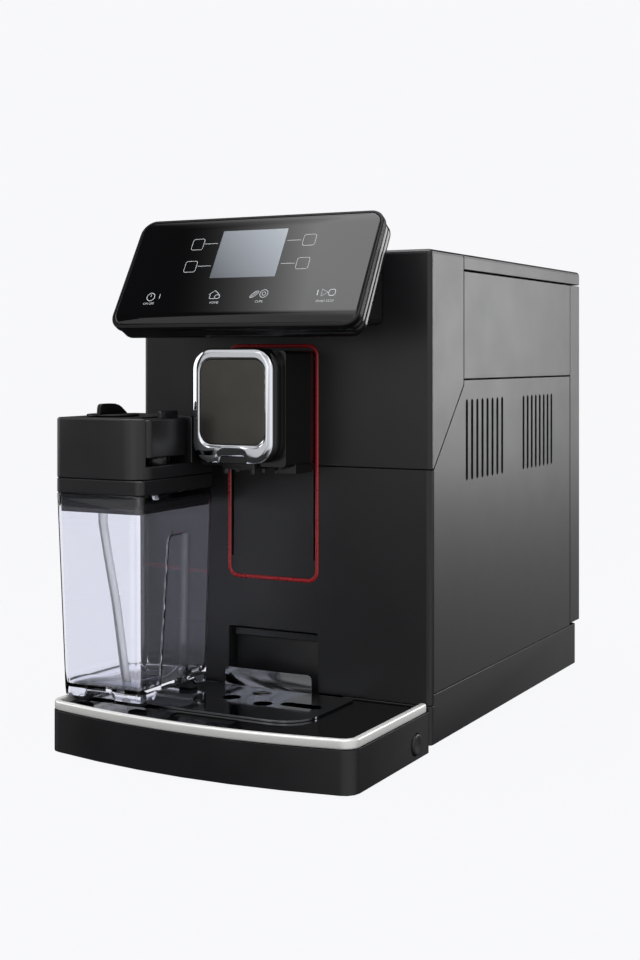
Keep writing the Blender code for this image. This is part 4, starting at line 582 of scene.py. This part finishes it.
def makePrint():
    lines = [printedLine(*mark) for mark in squaresAndLeads() + keySigns()]
    addPiece("panelMarks", tilted(merge(*lines)), finish["paleInk"], "root", crease=60)
    for words, *place in panelPrint["words"]:
        addPiece("words_" + words.replace(" ", "_"), tilted(printedWords(words, *place)), finish["paleInk"],
                 "root", crease=60)


makePrint()
print("print laid on the glass")


# Body covers, red outline and feet

bodyCovers = {
    "covers": ["front_cover_upper", "front_panel_lower", "side_panel_lower_left", "side_panel_upper_left",
               "side_panel_upper_right", "service_door", "rear_cover", "top_cover", "hopper_lid", "tank_lid"],
    "coverEdge": 0.6,
    # the other pieces of the body: finish, slot and width of the moulded edge
    "others": {
        "base_chassis": ("mouldedAbsSatin", "satin_black", 0.5),
        "steam_port": ("mouldedAbsSatin", "satin_black", 0.4),
        "grounds_container": ("mouldedAbsSatin", "satin_black", 0.5),
        "power_module": ("mouldedAbsGloss", "gloss_black", 0.4),
        "power_switch_rocker": ("redRocker", "red_plastic", 0.3),
    },
    # the red outline's box, corner, width, how far it stands out and how deep it is set in
    "redBox": (-41.2, 104.7, 29.8, 265.7), "redRound": 8, "redWidth": 2.6, "redProud": 0.7, "redDepth": 0.3,
    "feet": ["foot_front_left", "foot_front_right", "foot_rear_left", "foot_rear_right"],
    # radius and height, from the middle of the sole round the rim to the top
    "footProfile": [(7.5, 0.5), (8.5, 0.0), (9.6, 0.15), (10.4, 0.9), (11, 2.0), (11, 4.6), (10.4, 5.2),
                    (8, 5.2)],
}


def redOutline():
    # half-round cord: a semicircular section carried round a rounded box on the front face
    b = bodyCovers
    half = b["redWidth"] / 2
    path = ringAt("Y", roundOutline(b["redBox"], b["redRound"] - half, 12, half), -b["redDepth"])
    turn = np.linspace(0, math.pi, 9)
    section = np.stack([half * np.cos(turn), -b["redProud"] * np.sin(turn)], axis=1)
    return sweep(path, (0, 1, 0), section, True)


def makeBody():
    b = bodyCovers
    for node in b["covers"]:
        dress(node, finish["mouldedAbsSatin"], bevel=b["coverEdge"], crease=12)
    for node, (look, slot, edge) in b["others"].items():
        dress(node, finish[look], bevel=edge)
    addPiece("redOutline", redOutline(), finish["redLacquer"], "root", ["ring_trim"], crease=60)
    for node in b["feet"]:
        low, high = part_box(node)
        centre = ((low.x + high.x) / 2 / millimetre, (low.y + high.y) / 2 / millimetre - bodyFront)
        addPiece(node + "_pad", turned("Z", centre, b["footProfile"]), finish["nitrileRubber"], "root",
                 [node])


makeBody()
print("body made")


# Sliding spout

spoutHead = {
    "x": -6.0, "half": 30.2, "low": 187.6, "high": 262.6, "radius": 14.0, "face": 54.0,
    # inset and depth behind the face, from the frame's back round its outside to its crowned face
    "frame": [(0.9, 8.0), (0.3, 7.9), (0.0, 7.5), (0.0, 1.9), (0.08, 1.45), (0.25, 1.15), (0.55, 0.93),
              (1.2, 0.7), (1.9, 0.47), (2.6, 0.28), (3.2, 0.15)],
    # share of the way from there to the plate's edge, and depth
    "crown": [(0.2, 0.08), (0.4, 0.03), (0.6, 0.01), (0.72, 0.0), (0.76, 0.05), (0.80, 0.45),
              (0.84, 0.55), (0.96, 0.6), (1.0, 0.8), (1.0, 2.4), (1.0, 7.0)],
    "plateLow": 199.4, "plateHigh": 255.5, "plateHalf": 24.9, "plateRadius": 9.0,
    "plateDepth": 0.75, "plateThickness": 1.5, "platePlay": 0.25,
    "notchHalf": 10.0, "notchHeight": 4.6,
}


def notchedOutline(inset, steps):
    # the head's outline; the middle of its lower edge steps up over the grip's notch
    s = spoutHead
    box = (s["x"] - s["half"], s["low"], s["x"] + s["half"], s["high"])
    outline = roundOutline(box, s["radius"] - inset, steps, inset)
    half, low, lift = s["notchHalf"] + inset, s["low"] + inset, s["notchHeight"]
    rise = np.array([(-half - 1.2, low), (-half, low + 0.5), (-half + 0.4, low + lift - 1.6),
                     (-half + 1.8, low + lift)])
    fall = rise[::-1] * np.array([-1, 1])
    step = np.concatenate([rise, fall]) + np.array([s["x"], 0.0])
    return np.concatenate([outline[:steps + 1], step, outline[steps + 1:]])


def spoutFrame(plateBox, steps=10):
    # plated frame: rings from the back round the outside to the crowned face and down to the plate
    s = spoutHead
    plain = roundOutline(plateBox, s["plateRadius"], steps)
    bottom = np.stack([np.linspace(s["x"] - 12, s["x"] + 12, 8), np.full(8, s["plateLow"])], axis=1)
    inner = np.concatenate([plain[:steps + 1], bottom, plain[steps + 1:]])
    outer = notchedOutline(s["frame"][-1][0], steps)
    rings = [ringAt("Y", notchedOutline(inset, steps), depth - s["face"]) for inset, depth in s["frame"]]
    rings += [ringAt("Y", outer + (inner - outer) * share, depth - s["face"]) for share, depth in s["crown"]]
    return skin(np.array(rings), closed=True)


def makeSpout():
    s = spoutHead
    box = np.array([s["x"] - s["plateHalf"], s["plateLow"], s["x"] + s["plateHalf"], s["plateHigh"]])
    addPiece("spoutFrame", spoutFrame(box), finish["chromePlatedAbs"], "spout", ["spout_bezel"],
             crease=48)
    play, front = s["platePlay"], s["plateDepth"] - s["face"]
    box += play * np.array([1, 1, -1, -1])
    profile = softProfile(front, front + s["plateThickness"], 0.4, 0.2)
    addPiece("spoutPlate", slab("Y", box, s["plateRadius"] - play, profile), finish["anodisedBronze"],
             "spout", ["spout_plate"])
    dress("spout_carriage", finish["mouldedAbsSleek"], bevel=0.9, steps=3)
    addPiece("spoutNozzles", nozzleBlock(), finish["mouldedAbsSatin"], "spout", ["outlet_nozzles"])


nozzles = {
    "apart": 10, "reaches": (43.5, 30.0),  # to each side of the middle, and before the body's face
    # radius and height, from the bore's upper end down to the rolled tip and up the outside
    "profile": [(1.1, 184.0), (1.1, 180.2), (1.35, 180.0), (1.7, 180.05), (2.0, 180.6), (2.1, 181.8),
                (2.1, 183.4), (2.1, 184.5)],
    "half": 12.1, "front": -45.6, "bridgeRear": -27.9, "bridge": (183.1, 184.7),
    "neckRear": -40.8, "neck": (184.0, 187.3),
}


def nozzleBlock():
    # thin tubes with a rolled tip, on one bridge with a neck at its front
    n, x = nozzles, spoutHead["x"]
    tubes = [turned("Z", (x + side, -reach), n["profile"], 20) for side in (-n["apart"], n["apart"])
             for reach in n["reaches"]]
    bridge = slab("Z", (x - n["half"], n["front"], x + n["half"], n["bridgeRear"]), 1.2,
                  softProfile(*n["bridge"], 0.3, 0.2), 4)
    neck = slab("Z", (x - n["half"], n["front"], x + n["half"], n["neckRear"]), 1.0,
                softProfile(*n["neck"], 0.2, 0.2), 4)
    return merge(*tubes, bridge, neck)


makeSpout()
print("spout made")


# Drip tray, cup plate, float and release button

dripTray = {
    "half": 110.5, "reach": 122.0, "bow": 11.0, "corner": 10.0,
    # the trim bar's height, width and edge, how far it runs back, and the steps of the dome at its ends
    "trimLow": 28.0, "trimHigh": 34.0, "trimWidth": 4.2, "trimRound": 1.3, "trimRear": 3.2,
    "trimDome": (0.0, 0.2, 0.6, 1.1, 1.7, 2.4),
    # the other pieces: finish, slot and width of the moulded edge
    "pieces": {
        "drip_tray": ("mouldedAbsSatin", "satin_black", 0.5),
        "tray_cover": ("mouldedAbsGloss", "gloss_black", 0.3),
        "cup_plate": ("polishedStainless", "steel", 0.35),
        "tray_float": ("mouldedAbsPaintedShade", "satin_black", 0.4),
    },
    # the release button's middle (y, z), and radius and x from the tray's wall to its dished face
    "button": (-20.0, 11.0),
    "buttonProfile": [(6.9, 104.4), (7.3, 104.7), (7.3, 106.2), (6.9, 106.5), (6.9, 110.9), (6.7, 111.4),
                      (6.2, 111.75), (5.6, 111.8), (3.0, 111.45), (1.0, 111.35), (0.3, 111.35)],
}


def trayOutline(inset, rear, steps=10, bowSteps=30):
    # straight sides, round corners and a front edge that bows forward as one minus a square
    t = dripTray
    side = t["half"] - inset
    near = -(t["reach"] - t["bow"] - inset)
    r = t["corner"] - inset / 2
    turn = np.radians(np.linspace(180, 262, steps))
    left = np.stack([-side + r + r * np.cos(turn), near + r + r * np.sin(turn)], axis=1)
    share = np.linspace(0, 1, bowSteps + 1)[1:-1]
    x = -side + r + 2 * (side - r) * share
    bow = np.stack([x, near - t["bow"] * (1 - (2 * share - 1) ** 2)], axis=1)
    right = left[::-1] * np.array([-1, 1])
    run = np.linspace(0, 1, 9)[:-1, None]
    start, end = np.array([[-side, -rear]]), np.array([[side, -rear]])
    return np.concatenate([start + (left[:1] - start) * run, left, bow, right,
                           (end + (right[-1:] - end) * run)[::-1]])


def trayTrim():
    # satin trim: a rounded bar along the tray's edge, drawn to a dome at each end
    t = dripTray
    low, high, steps = t["trimLow"], t["trimHigh"], np.array(t["trimDome"])
    dome = steps[-1]
    path = ringAt("Z", trayOutline(t["trimWidth"] / 2, t["trimRear"]), (low + high) / 2)
    length = np.concatenate([[0], np.cumsum(np.linalg.norm(np.diff(path, axis=0), axis=1))])
    between = length[(length > dome + 0.6) & (length < length[-1] - dome - 0.6)]
    wanted = np.sort(np.concatenate([steps, between, length[-1] - steps]))
    path = np.stack([np.interp(wanted, length, path[:, axis]) for axis in range(3)], axis=1)
    fromEnd = np.clip(np.minimum(wanted, wanted[-1] - wanted) / dome, 0, 1)
    thin = np.sqrt(np.clip(1 - (1 - fromEnd) ** 2, 0.02, 1))
    half, tall = t["trimWidth"] / 2, (high - low) / 2
    return sweep(path, (0, 0, 1), roundOutline((-half, -tall, half, tall), t["trimRound"], 5), False, thin)


def makeTray():
    t = dripTray
    addPiece("trayTrim", trayTrim(), finish["silverLacquer"], "drip_tray", ["tray_trim"],
             crease=50)
    for node, (look, slot, edge) in t["pieces"].items():
        dress(node, finish[look], bevel=edge)
    addPiece("releaseButton", turned("X", t["button"], t["buttonProfile"]), finish["mouldedAbsSatin"],
             "tray_release", ["tray_release_button"], crease=40)


makeTray()
print("tray made")


# Milk carafe

carafe = {
    "topBox": (-112.0, -103.0, -43.0, -15.0), "lowBox": (-109.0, -98.0, -46.0, -18.0),
    "low": 35.4, "high": 168.0, "radius": 5.5, "wall": 2.0, "floor": 7.6, "under": 5.4,
    # inset and height round the rim that the jug stands on, from its inside out; then its arches: how
    # high, how soft, and their share of the front and of the right side
    "standRim": [(2.4, 0.5), (2.0, 0.0), (0.9, 0.0), (0.3, 0.5)],
    "arch": 4.2, "archSoft": 0.05, "archFront": (0.26, 0.66), "archRight": (0.18, 0.82),
    # the groove's front and rear end, its top, and how that is rounded and leans forward on the way down
    "grooveReach": (-69.0, -44.0), "grooveTop": 141.0, "grooveRound": 6.0, "grooveLean": 0.07,
    "grooveDepth": 2.3, "grooveNearEdge": 1.4, "grooveFarEdge": 7.0, "grooveTopEdge": 1.6,
    # rubber pads under the jug: their middles, half their size, and their foot and top
    "padsX": (-99.0, -56.0), "padsY": (-88.0, -28.0), "padHalf": (6, 5), "pad": (32.0, 35.1),
    # collar, as inset and height: the band from below to its top, then the skirt's inner face down to
    # its lower end and up its outside with three fine ribs
    "band": [(0.6, 168.3), (0.0, 168.9), (0.0, 177.3), (0.5, 177.8)],
    "skirt": [(10.0, 177.8), (10.0, 175.3), (4.4, 175.3), (4.4, 156.4), (4.2, 156.0), (2.9, 156.0),
              (2.7, 156.3), (2.7, 158.0), (2.5, 158.2), (2.5, 158.7), (2.7, 158.9), (2.7, 161.0),
              (2.5, 161.2), (2.5, 161.7), (2.7, 161.9), (2.7, 164.2), (2.5, 164.4), (2.5, 164.9),
              (2.7, 165.1), (2.7, 168.3)],
    # suction tube: its depth, radius and bends (x, height)
    "tubeY": -80.0, "tubeRadius": 2.9,
    "tube": [(-90.9, 175.0), (-90.9, 162.0), (-90.2, 155.0), (-84.7, 126.0), (-79.3, 101.0),
             (-78.3, 96.0), (-73.8, 68.0), (-69.8, 41.4)],
}


def jugRing(z, inset, grooved):
    # the jug's section at a height: its box grows evenly towards the rim; the groove is a
    # smooth step inwards on the right side, fading out at its top
    c, steps = carafe, 10
    share = (z - c["low"]) / (c["high"] - c["low"])
    box = np.array(c["lowBox"]) + (np.array(c["topBox"]) - np.array(c["lowBox"])) * share
    base = roundOutline(box, max(c["radius"] - inset, 0.4), steps, inset)
    corner = steps + 1
    # the front and the right side are cut finely, for the arches and the groove
    front, right = np.linspace(0, 1, 42)[1:-1, None], np.linspace(0, 1, 72)[1:-1, None]
    near, turn, start, end = base[corner - 1], base[corner], base[2 * corner - 1], base[2 * corner]
    outline = np.concatenate([base[:corner], near + (turn - near) * front, base[corner:2 * corner],
                              start + (end - start) * right, base[2 * corner:]])
    if grooved:
        x, y = outline.T
        near, far = c["grooveReach"]
        near -= c["grooveLean"] * (c["grooveTop"] - z)
        rise = np.clip(z - c["grooveTop"] + c["grooveRound"], 0, c["grooveRound"])
        near += c["grooveRound"] - math.sqrt(c["grooveRound"] ** 2 - rise ** 2)
        inside = (np.clip((y - near) / c["grooveNearEdge"], 0, 1)
                  * np.clip((far - y) / c["grooveFarEdge"], 0, 1))
        top = np.clip((c["grooveTop"] - z) / c["grooveTopEdge"], 0, 1)
        sunk = np.where(x > box[2] - inset - 0.6, smoothStep(inside) * top * c["grooveDepth"], 0)
        outline = np.stack([x - sunk, y], axis=1)
    return outline


def archedRing(inset, height):
    # the rim that the jug stands on: it lifts in a smooth step in the middle of its front and right side
    c = carafe
    outline = jugRing(c["low"], inset, False)
    left, near, right, far = c["lowBox"]
    x, y = outline.T
    lift = np.zeros(len(outline))
    for share, side, (first, last) in (((x - left) / (right - left), y < near + 4, c["archFront"]),
                                       ((y - near) / (far - near), x > right - 4, c["archRight"])):
        step = np.clip((share - first) / c["archSoft"], 0, 1) * np.clip((last - share) / c["archSoft"], 0, 1)
        lift = np.maximum(lift, np.where(side, smoothStep(step), 0))
    return ringAt("Z", outline, c["low"] + height) + lift[:, None] * np.array([0, 0, c["arch"]])


def jug():
    # from the underside round the stand rim, up the outside, over the lip and down to the floor inside
    c = carafe
    under, floor, wall, top = c["low"] + c["under"], c["low"] + c["floor"], c["wall"], c["grooveTop"]
    heights = np.concatenate([[under], np.linspace(c["low"] + 7.5, top - 7, 12),
                              np.linspace(top - 6, top, 10), [150, c["high"] - 0.6]])
    rings = [ringAt("Z", jugRing(c["low"], inset, False), under) for inset in (5.0, 3.2)]
    rings += [archedRing(inset, height) for inset, height in c["standRim"]]
    rings += [ringAt("Z", jugRing(z, 0.0, True), z) for z in heights]
    rings += [ringAt("Z", jugRing(c["high"], inset, False), c["high"]) for inset in (0.5, wall - 0.4)]
    rings += [ringAt("Z", jugRing(z, wall, True), z) for z in heights[::-1] if z > floor + 2]
    rings += [ringAt("Z", jugRing(floor, wall + 0.5, True), floor + 0.9),
              ringAt("Z", jugRing(floor, wall + 1.6, False), floor),
              ringAt("Z", jugRing(floor, wall + 5.0, False), floor)]
    return skin(np.array(rings))


def collar():
    # outer band, and a skirt with three fine ribs inside the jug
    c = carafe
    rings = [ringAt("Z", roundOutline(c["topBox"], max(c["radius"] - inset, 1.0), 10, inset), z)
             for inset, z in c["band"] + c["skirt"]]
    return skin(np.array(rings), closed=True)


def suctionTube():
    # a circle carried along the bends, which a running mean of five points rounds off
    c = carafe
    points = np.array(c["tube"])
    run, index = np.linspace(0, len(points) - 1, 60), np.arange(len(points))
    line = np.stack([np.interp(run, index, points[:, axis]) for axis in (0, 1)], axis=1)
    padded = np.pad(line, ((2, 2), (0, 0)), mode="edge")
    smooth = np.stack([np.convolve(padded[:, axis], np.ones(5) / 5, mode="valid") for axis in (0, 1)], axis=1)
    smooth[0], smooth[-1] = line[0], line[-1]
    return sweep(ringAt("Y", smooth, c["tubeY"]), (0, 1, 0), unitCircle(20) * c["tubeRadius"])


def makeCarafe():
    c = carafe
    addPiece("jug", jug(), finish["clearCopolyester"], "carafe", ["carafe_jug"], crease=60)
    wide, deep = c["padHalf"]
    pads = [slab("Z", (x - wide, y - deep, x + wide, y + deep), 3.5, softProfile(*c["pad"], 0.9, 0.4), 5)
            for x in c["padsX"] for y in c["padsY"]]
    addPiece("jugFoot", merge(*pads), finish["nitrileRubber"], "carafe", ["carafe_foot"])
    addPiece("collar", collar(), finish["mouldedAbsSatin"], "carafe", ["carafe_collar"],
             crease=40)
    dress("carafe_lid", finish["mouldedAbsSatin"], bevel=0.7, steps=3)
    addPiece("milkTube", suctionTube(), finish["milkySilicone"], "carafe", ["carafe_tube"])


makeCarafe()
print("carafe made")


# The carafe's swinging milk arm and its froth knob

milkArm = {
    "node": "carafe_spout_arm", "front": -94.0, "rear": -45.0, "block": (192.0, 216.5),
    "frontRound": 4.5, "rearPlay": 0.05,
    # radius and height, from the nozzle's mouth round its outside to the block
    "nozzleY": -74.5, "nozzle": [(5.6, 187.0), (6.2, 186.8), (7.4, 186.9), (7.8, 187.4), (7.8, 191.2),
                                 (7.4, 191.9), (6.0, 192.1)],
    # thumb tab: its front and rear, half its width, and its foot and top
    "tab": (-70.0, -49.0), "tabHalf": 1.5, "tabHeight": (216.4, 221.4),
}


def makeArm():
    # a block that ends in a half circle about its pivot, its nozzle and the thumb tab
    m = milkArm
    low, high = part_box(m["node"])
    left, right = low.x / millimetre, high.x / millimetre
    middle, pivotRound = (left + right) / 2, (right - left) / 2 - m["rearPlay"]
    corners = (m["frontRound"], m["frontRound"], pivotRound, pivotRound)
    block = slab("Z", (left, m["front"], right, m["rear"]), corners, softProfile(*m["block"], 0.6, 0.9), 12)
    nozzle = turned("Z", (middle, m["nozzleY"]), m["nozzle"])
    tab = slab("Z", (middle - m["tabHalf"], m["tab"][0], middle + m["tabHalf"], m["tab"][1]), 1.2,
               softProfile(*m["tabHeight"], 0.2, 1.1), 4)
    addPiece("milkArm", merge(block, nozzle, tab), finish["mouldedAbsSatin"],
             frame["nodes"][m["node"]]["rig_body"], [m["node"]], crease=40)


frothKnob = {
    "x": -85.78, "y": -73.5,
    # radius and height of the disc, from below to its top
    "disc": [(16.8, 217.8), (17.3, 218.0), (17.5, 218.3), (17.5, 218.8), (17.2, 219.1), (16.4, 219.2),
             (15.8, 219.2)],
    # fin, as distance behind the knob's middle and height: steep front, flat top and long curved back
    "fin": [(-16.6, 218.9), (-16.5, 221.0), (-16.2, 223.6), (-15.6, 225.0), (-14.4, 225.9), (-12.6, 226.2),
            (-4.0, 226.2), (0.5, 226.0), (4.6, 225.1), (8.0, 223.6), (11.0, 221.6), (13.2, 220.2),
            (14.8, 218.9)],
    # across the fin, and the share of its outline there
    "finSides": [(-1.6, 0.93), (-1.45, 0.975), (-1.1, 1.0), (1.1, 1.0), (1.45, 0.975), (1.6, 0.93)],
}


def makeKnob():
    k = frothKnob
    disc = turned("Z", (k["x"], k["y"]), k["disc"], 56)
    outline = np.array(k["fin"]) + np.array([k["y"], 0.0])
    middle = outline.mean(axis=0)
    fin = skin(np.array([ringAt("X", middle + (outline - middle) * share, k["x"] + across)
                         for across, share in k["finSides"]]))
    addPiece("frothKnob", merge(disc, fin), finish["mouldedAbsPaintedShade"], "froth_knob", ["froth_knob"],
             crease=45)


makeArm()
makeKnob()
print("milk arm and knob made")


# Inside: parts seen when the door, the lids or the tray are open

insidePieces = {
    # finish and slot, and which nodes have them
    ("glassFilledNylon", "grey_plastic"): ["inner_frame", "brew_group_frame", "brew_chamber",
                                           "grinder_housing"],
    ("acetal", "white_plastic"): ["brew_piston", "brew_drive_gear"],
    ("castAluminium", "bare_aluminium"): ["brew_pinion", "boiler"],
    ("zincedSteel", "steel"): ["brew_gear_motor", "grinder_motor", "pump"],
    ("polishedStainless", "steel"): ["grinder_burr"],
    ("mouldedAbsSatin", "satin_black"): ["powder_chute", "grind_dial"],
    ("fibreglassBoard", "board_green"): ["power_board", "control_board"],
    ("smokedPolycarbonate", "smoke_plastic"): ["bean_hopper"],
    ("clearCopolyester", "clear_plastic"): ["water_tank"],
}
seeThrough = ["bean_hopper", "water_tank"]  # these keep their sharp edges

for (look, slot), nodes in insidePieces.items():
    for node in nodes:
        dress(node, finish[look], bevel=0.0 if node in seeThrough else 0.3)
print("inside dressed")


# Floor, light and camera

studio = {
    "paper": "#f8f8fa", "paperStrength": 0.985,
    "floorRings": (1, 300, 600, 900, 1200, 1500), "floorFade": (0.45, 1.35),  # millimetres, then metres
    "cameraPlace": (0.4929, -0.9671, 0.2569), "cameraTurn": 27.87, "lens": 55.245, "shift": -0.1282,
    "room": 0.035,
    # soft patches of light: where (direction), cosines from its edge to its heart, strength
    "patches": [
        ((0.38, 0.92, 0.08), (0.90, 0.995), 0.5),
        ((0.85, -0.50, 0.05), (0.35, 0.85), 0.7),
        ((-0.97, -0.10, 0.20), (0.88, 0.98), 0.8),
        ((0.05, 0.10, 0.99), (0.80, 0.98), 0.9),
    ],
    # the wash that the tilted glass mirrors, as ranges of the direction's x and z
    "washAcross": (-0.64, -0.38), "washPower": 1.7, "washUp": (0.64, 0.84), "washEnd": (-0.10, -0.26),
    "washStrength": 3.7,
    # boxes of an even glow: centre in metres, the way it faces, its upward edge, width and height, glow
    "cards": {
        "sideBox": ((0.80, 1.0, 0.44), (-0.58, -0.80, -0.10), (0, 0, 1), (0.62, 0.72), 4.6),
        "leftBox": ((-1.0, -0.46, 0.48), (1, 0, 0), (0, 0, 1), (0.76, 0.606), 1.9),
        "faceBox": ((-0.288, -0.8, 0.352), (0, 1, 0), (-0.56, 0, 0.829), (0.45, 0.47), 0.63),
        "rightBox": ((0.08, -0.88, 0.28), (0, 1, 0), (0, 0, 1), (0.66, 0.56), 0.58),
        "highBox": ((-0.36, -0.8, 0.74), (0, 0.8, -0.6), (0, 0.6, 0.8), (0.9, 0.36), 0.75),
    },
    # boxes aimed at a point: place, target, width and height, power in watts
    "boxes": {
        "topBox": ((0.25, -0.2, 1.5), (0.0, 0.0, 0.1), (0.8, 0.8), 7.0),
        "keyBox": ((0.75, -1.3, 1.1), (0.0, 0.0, 0.15), (1.0, 1.0), 4.0),
    },
}


def makeFloor():
    # a round pale sheet that fades into the background of the same paper white
    sides = 96
    circle = unitCircle(sides)
    rings = np.array([ringAt("Z", r * circle + np.array([0, -bodyFront]), 0.0) for r in studio["floorRings"]])
    points, faces = skin(rings, caps=False)
    faces.append(list(range(sides)))
    mesh = bpy.data.meshes.new("floor")
    mesh.from_pydata(toMetres(points).tolist(), [], faces)
    floor = addObject("floor", mesh)
    material = bpy.data.materials.new("paperSweep")  # matt paper, fine fibre
    tree = emptyTree(material)
    place = addNode(tree, "ShaderNodeTexCoord").outputs["Object"]
    far = addNode(tree, "ShaderNodeVectorMath", {"operation": "LENGTH"}, input0=place)
    start, end = studio["floorFade"]
    fade = addNode(tree, "ShaderNodeMapRange", {"interpolation_type": "SMOOTHSTEP"},
                   Value=far.outputs["Value"], From_Min=start, From_Max=end)
    fibre = addNode(tree, "ShaderNodeTexNoise", Vector=place, Scale=perMetre(2.0))
    bump = addNode(tree, "ShaderNodeBump", Height=fibre.outputs[0], Strength=0.05, Distance=0.1 * millimetre)
    paper = addNode(tree, "ShaderNodeBsdfDiffuse", Color=linear("#202021"), Normal=bump.outputs[0])
    glow = addNode(tree, "ShaderNodeEmission", Color=linear(studio["paper"]),
                   Strength=studio["paperStrength"])
    both = addNode(tree, "ShaderNodeAddShader", input0=paper.outputs[0], input1=glow.outputs[0])
    clear = addNode(tree, "ShaderNodeBsdfTransparent")
    mixed = addNode(tree, "ShaderNodeMixShader", Fac=fade.outputs[0], input1=both.outputs[0],
                    input2=clear.outputs[0])
    addNode(tree, "ShaderNodeOutputMaterial", Surface=mixed.outputs[0])
    mesh.materials.append(material)
    floor.visible_glossy = False
    floor.visible_diffuse = False


def makeWorld():
    # paper white to the camera; to the machine a dim room with soft patches of light
    world = bpy.data.worlds.new("studio")
    bpy.context.scene.world = world
    tree = emptyTree(world)
    smooth, add, times = {"interpolation_type": "SMOOTHSTEP"}, {"operation": "ADD"}, {"operation": "MULTIPLY"}
    direction = addNode(tree, "ShaderNodeTexCoord").outputs["Generated"]
    path = addNode(tree, "ShaderNodeLightPath")
    parts = addNode(tree, "ShaderNodeSeparateXYZ", Vector=direction)
    total = addNode(tree, "ShaderNodeMath", add, input0=studio["room"], input1=0.0)
    for where, (edge, heart), strength in studio["patches"]:
        dot = addNode(tree, "ShaderNodeVectorMath", {"operation": "DOT_PRODUCT"}, input0=direction,
                      input1=Vector(where).normalized())
        soft = addNode(tree, "ShaderNodeMapRange", smooth, Value=dot.outputs["Value"], From_Min=edge,
                       From_Max=heart, To_Max=strength)
        total = addNode(tree, "ShaderNodeMath", add, input0=total.outputs[0], input1=soft.outputs[0])
    # the wash grows towards the right as a power, stops softly there, and lies high up in front
    start, end = studio["washAcross"]
    across = addNode(tree, "ShaderNodeMapRange", Value=parts.outputs[0], From_Min=start, From_Max=end)
    wash = addNode(tree, "ShaderNodeMath", {"operation": "POWER"}, input0=across.outputs[0],
                   input1=studio["washPower"])
    start, end = studio["washUp"]
    high = addNode(tree, "ShaderNodeMapRange", smooth, Value=parts.outputs[2], From_Min=start, From_Max=end,
                   To_Max=studio["washStrength"])
    start, end = studio["washEnd"]
    near = addNode(tree, "ShaderNodeMapRange", smooth, Value=parts.outputs[0], From_Min=start, From_Max=end)
    wash = addNode(tree, "ShaderNodeMath", times, input0=wash.outputs[0], input1=high.outputs[0])
    wash = addNode(tree, "ShaderNodeMath", times, input0=wash.outputs[0], input1=near.outputs[0])
    total = addNode(tree, "ShaderNodeMath", add, input0=total.outputs[0], input1=wash.outputs[0])
    room = addNode(tree, "ShaderNodeBackground", Color=(1, 1, 1, 1), Strength=total.outputs[0])
    paper = addNode(tree, "ShaderNodeBackground", Color=linear(studio["paper"]), Strength=1.0)
    seen = addNode(tree, "ShaderNodeMath", {"operation": "MAXIMUM"}, input0=path.outputs["Is Camera Ray"],
                   input1=path.outputs["Is Transmission Ray"])
    mixed = addNode(tree, "ShaderNodeMixShader", Fac=seen.outputs[0], input1=room.outputs[0],
                    input2=paper.outputs[0])
    addNode(tree, "ShaderNodeOutputWorld", Surface=mixed.outputs[0])


def addBox(name, place, target, size, power):
    # a soft box aimed at a point, unseen by the camera itself
    light = bpy.data.lights.new(name, "AREA")
    light.shape = "RECTANGLE"
    light.size, light.size_y = size
    light.energy = power
    obj = addObject(name, light)
    obj.location = place
    obj.rotation_euler = (Vector(target) - Vector(place)).to_track_quat("-Z", "Y").to_euler()
    obj.visible_camera = False
    obj.visible_transmission = False
    return obj


def addCard(name, centre, facing, up, size, glow):
    # a soft box turned about the way it faces until its edge points up; its power is glow x pi x area
    light = addBox(name, centre, Vector(centre) + Vector(facing), size, glow * math.pi * size[0] * size[1])
    back = -Vector(facing).normalized()
    side = Vector(up).cross(back).normalized()
    light.rotation_euler = Matrix((side, back.cross(side), back)).transposed().to_euler()


def makeLights():
    # the side box lights the side panels from the right rear, the face box is for the spout's plate, the
    # left, right and high ones are for its plated frame, and the aimed boxes for the whole machine
    for name, settings in studio["cards"].items():
        addCard(name, *settings)
    for name, settings in studio["boxes"].items():
        addBox(name, *settings)


def makeCamera():
    # level, with its picture shifted down, so that the machine's uprights stay upright
    lens = bpy.data.cameras.new("camera")
    camera = addObject("camera", lens)
    camera.location = studio["cameraPlace"]
    camera.rotation_euler = (math.radians(90), 0, math.radians(studio["cameraTurn"]))
    lens.lens = studio["lens"]
    lens.sensor_width = 36.0
    lens.sensor_fit = "AUTO"
    lens.shift_y = studio["shift"]
    bpy.context.scene.camera = camera


makeFloor()
makeWorld()
makeLights()
makeCamera()
bpy.context.scene.view_settings.view_transform = "Standard"
print("studio set")
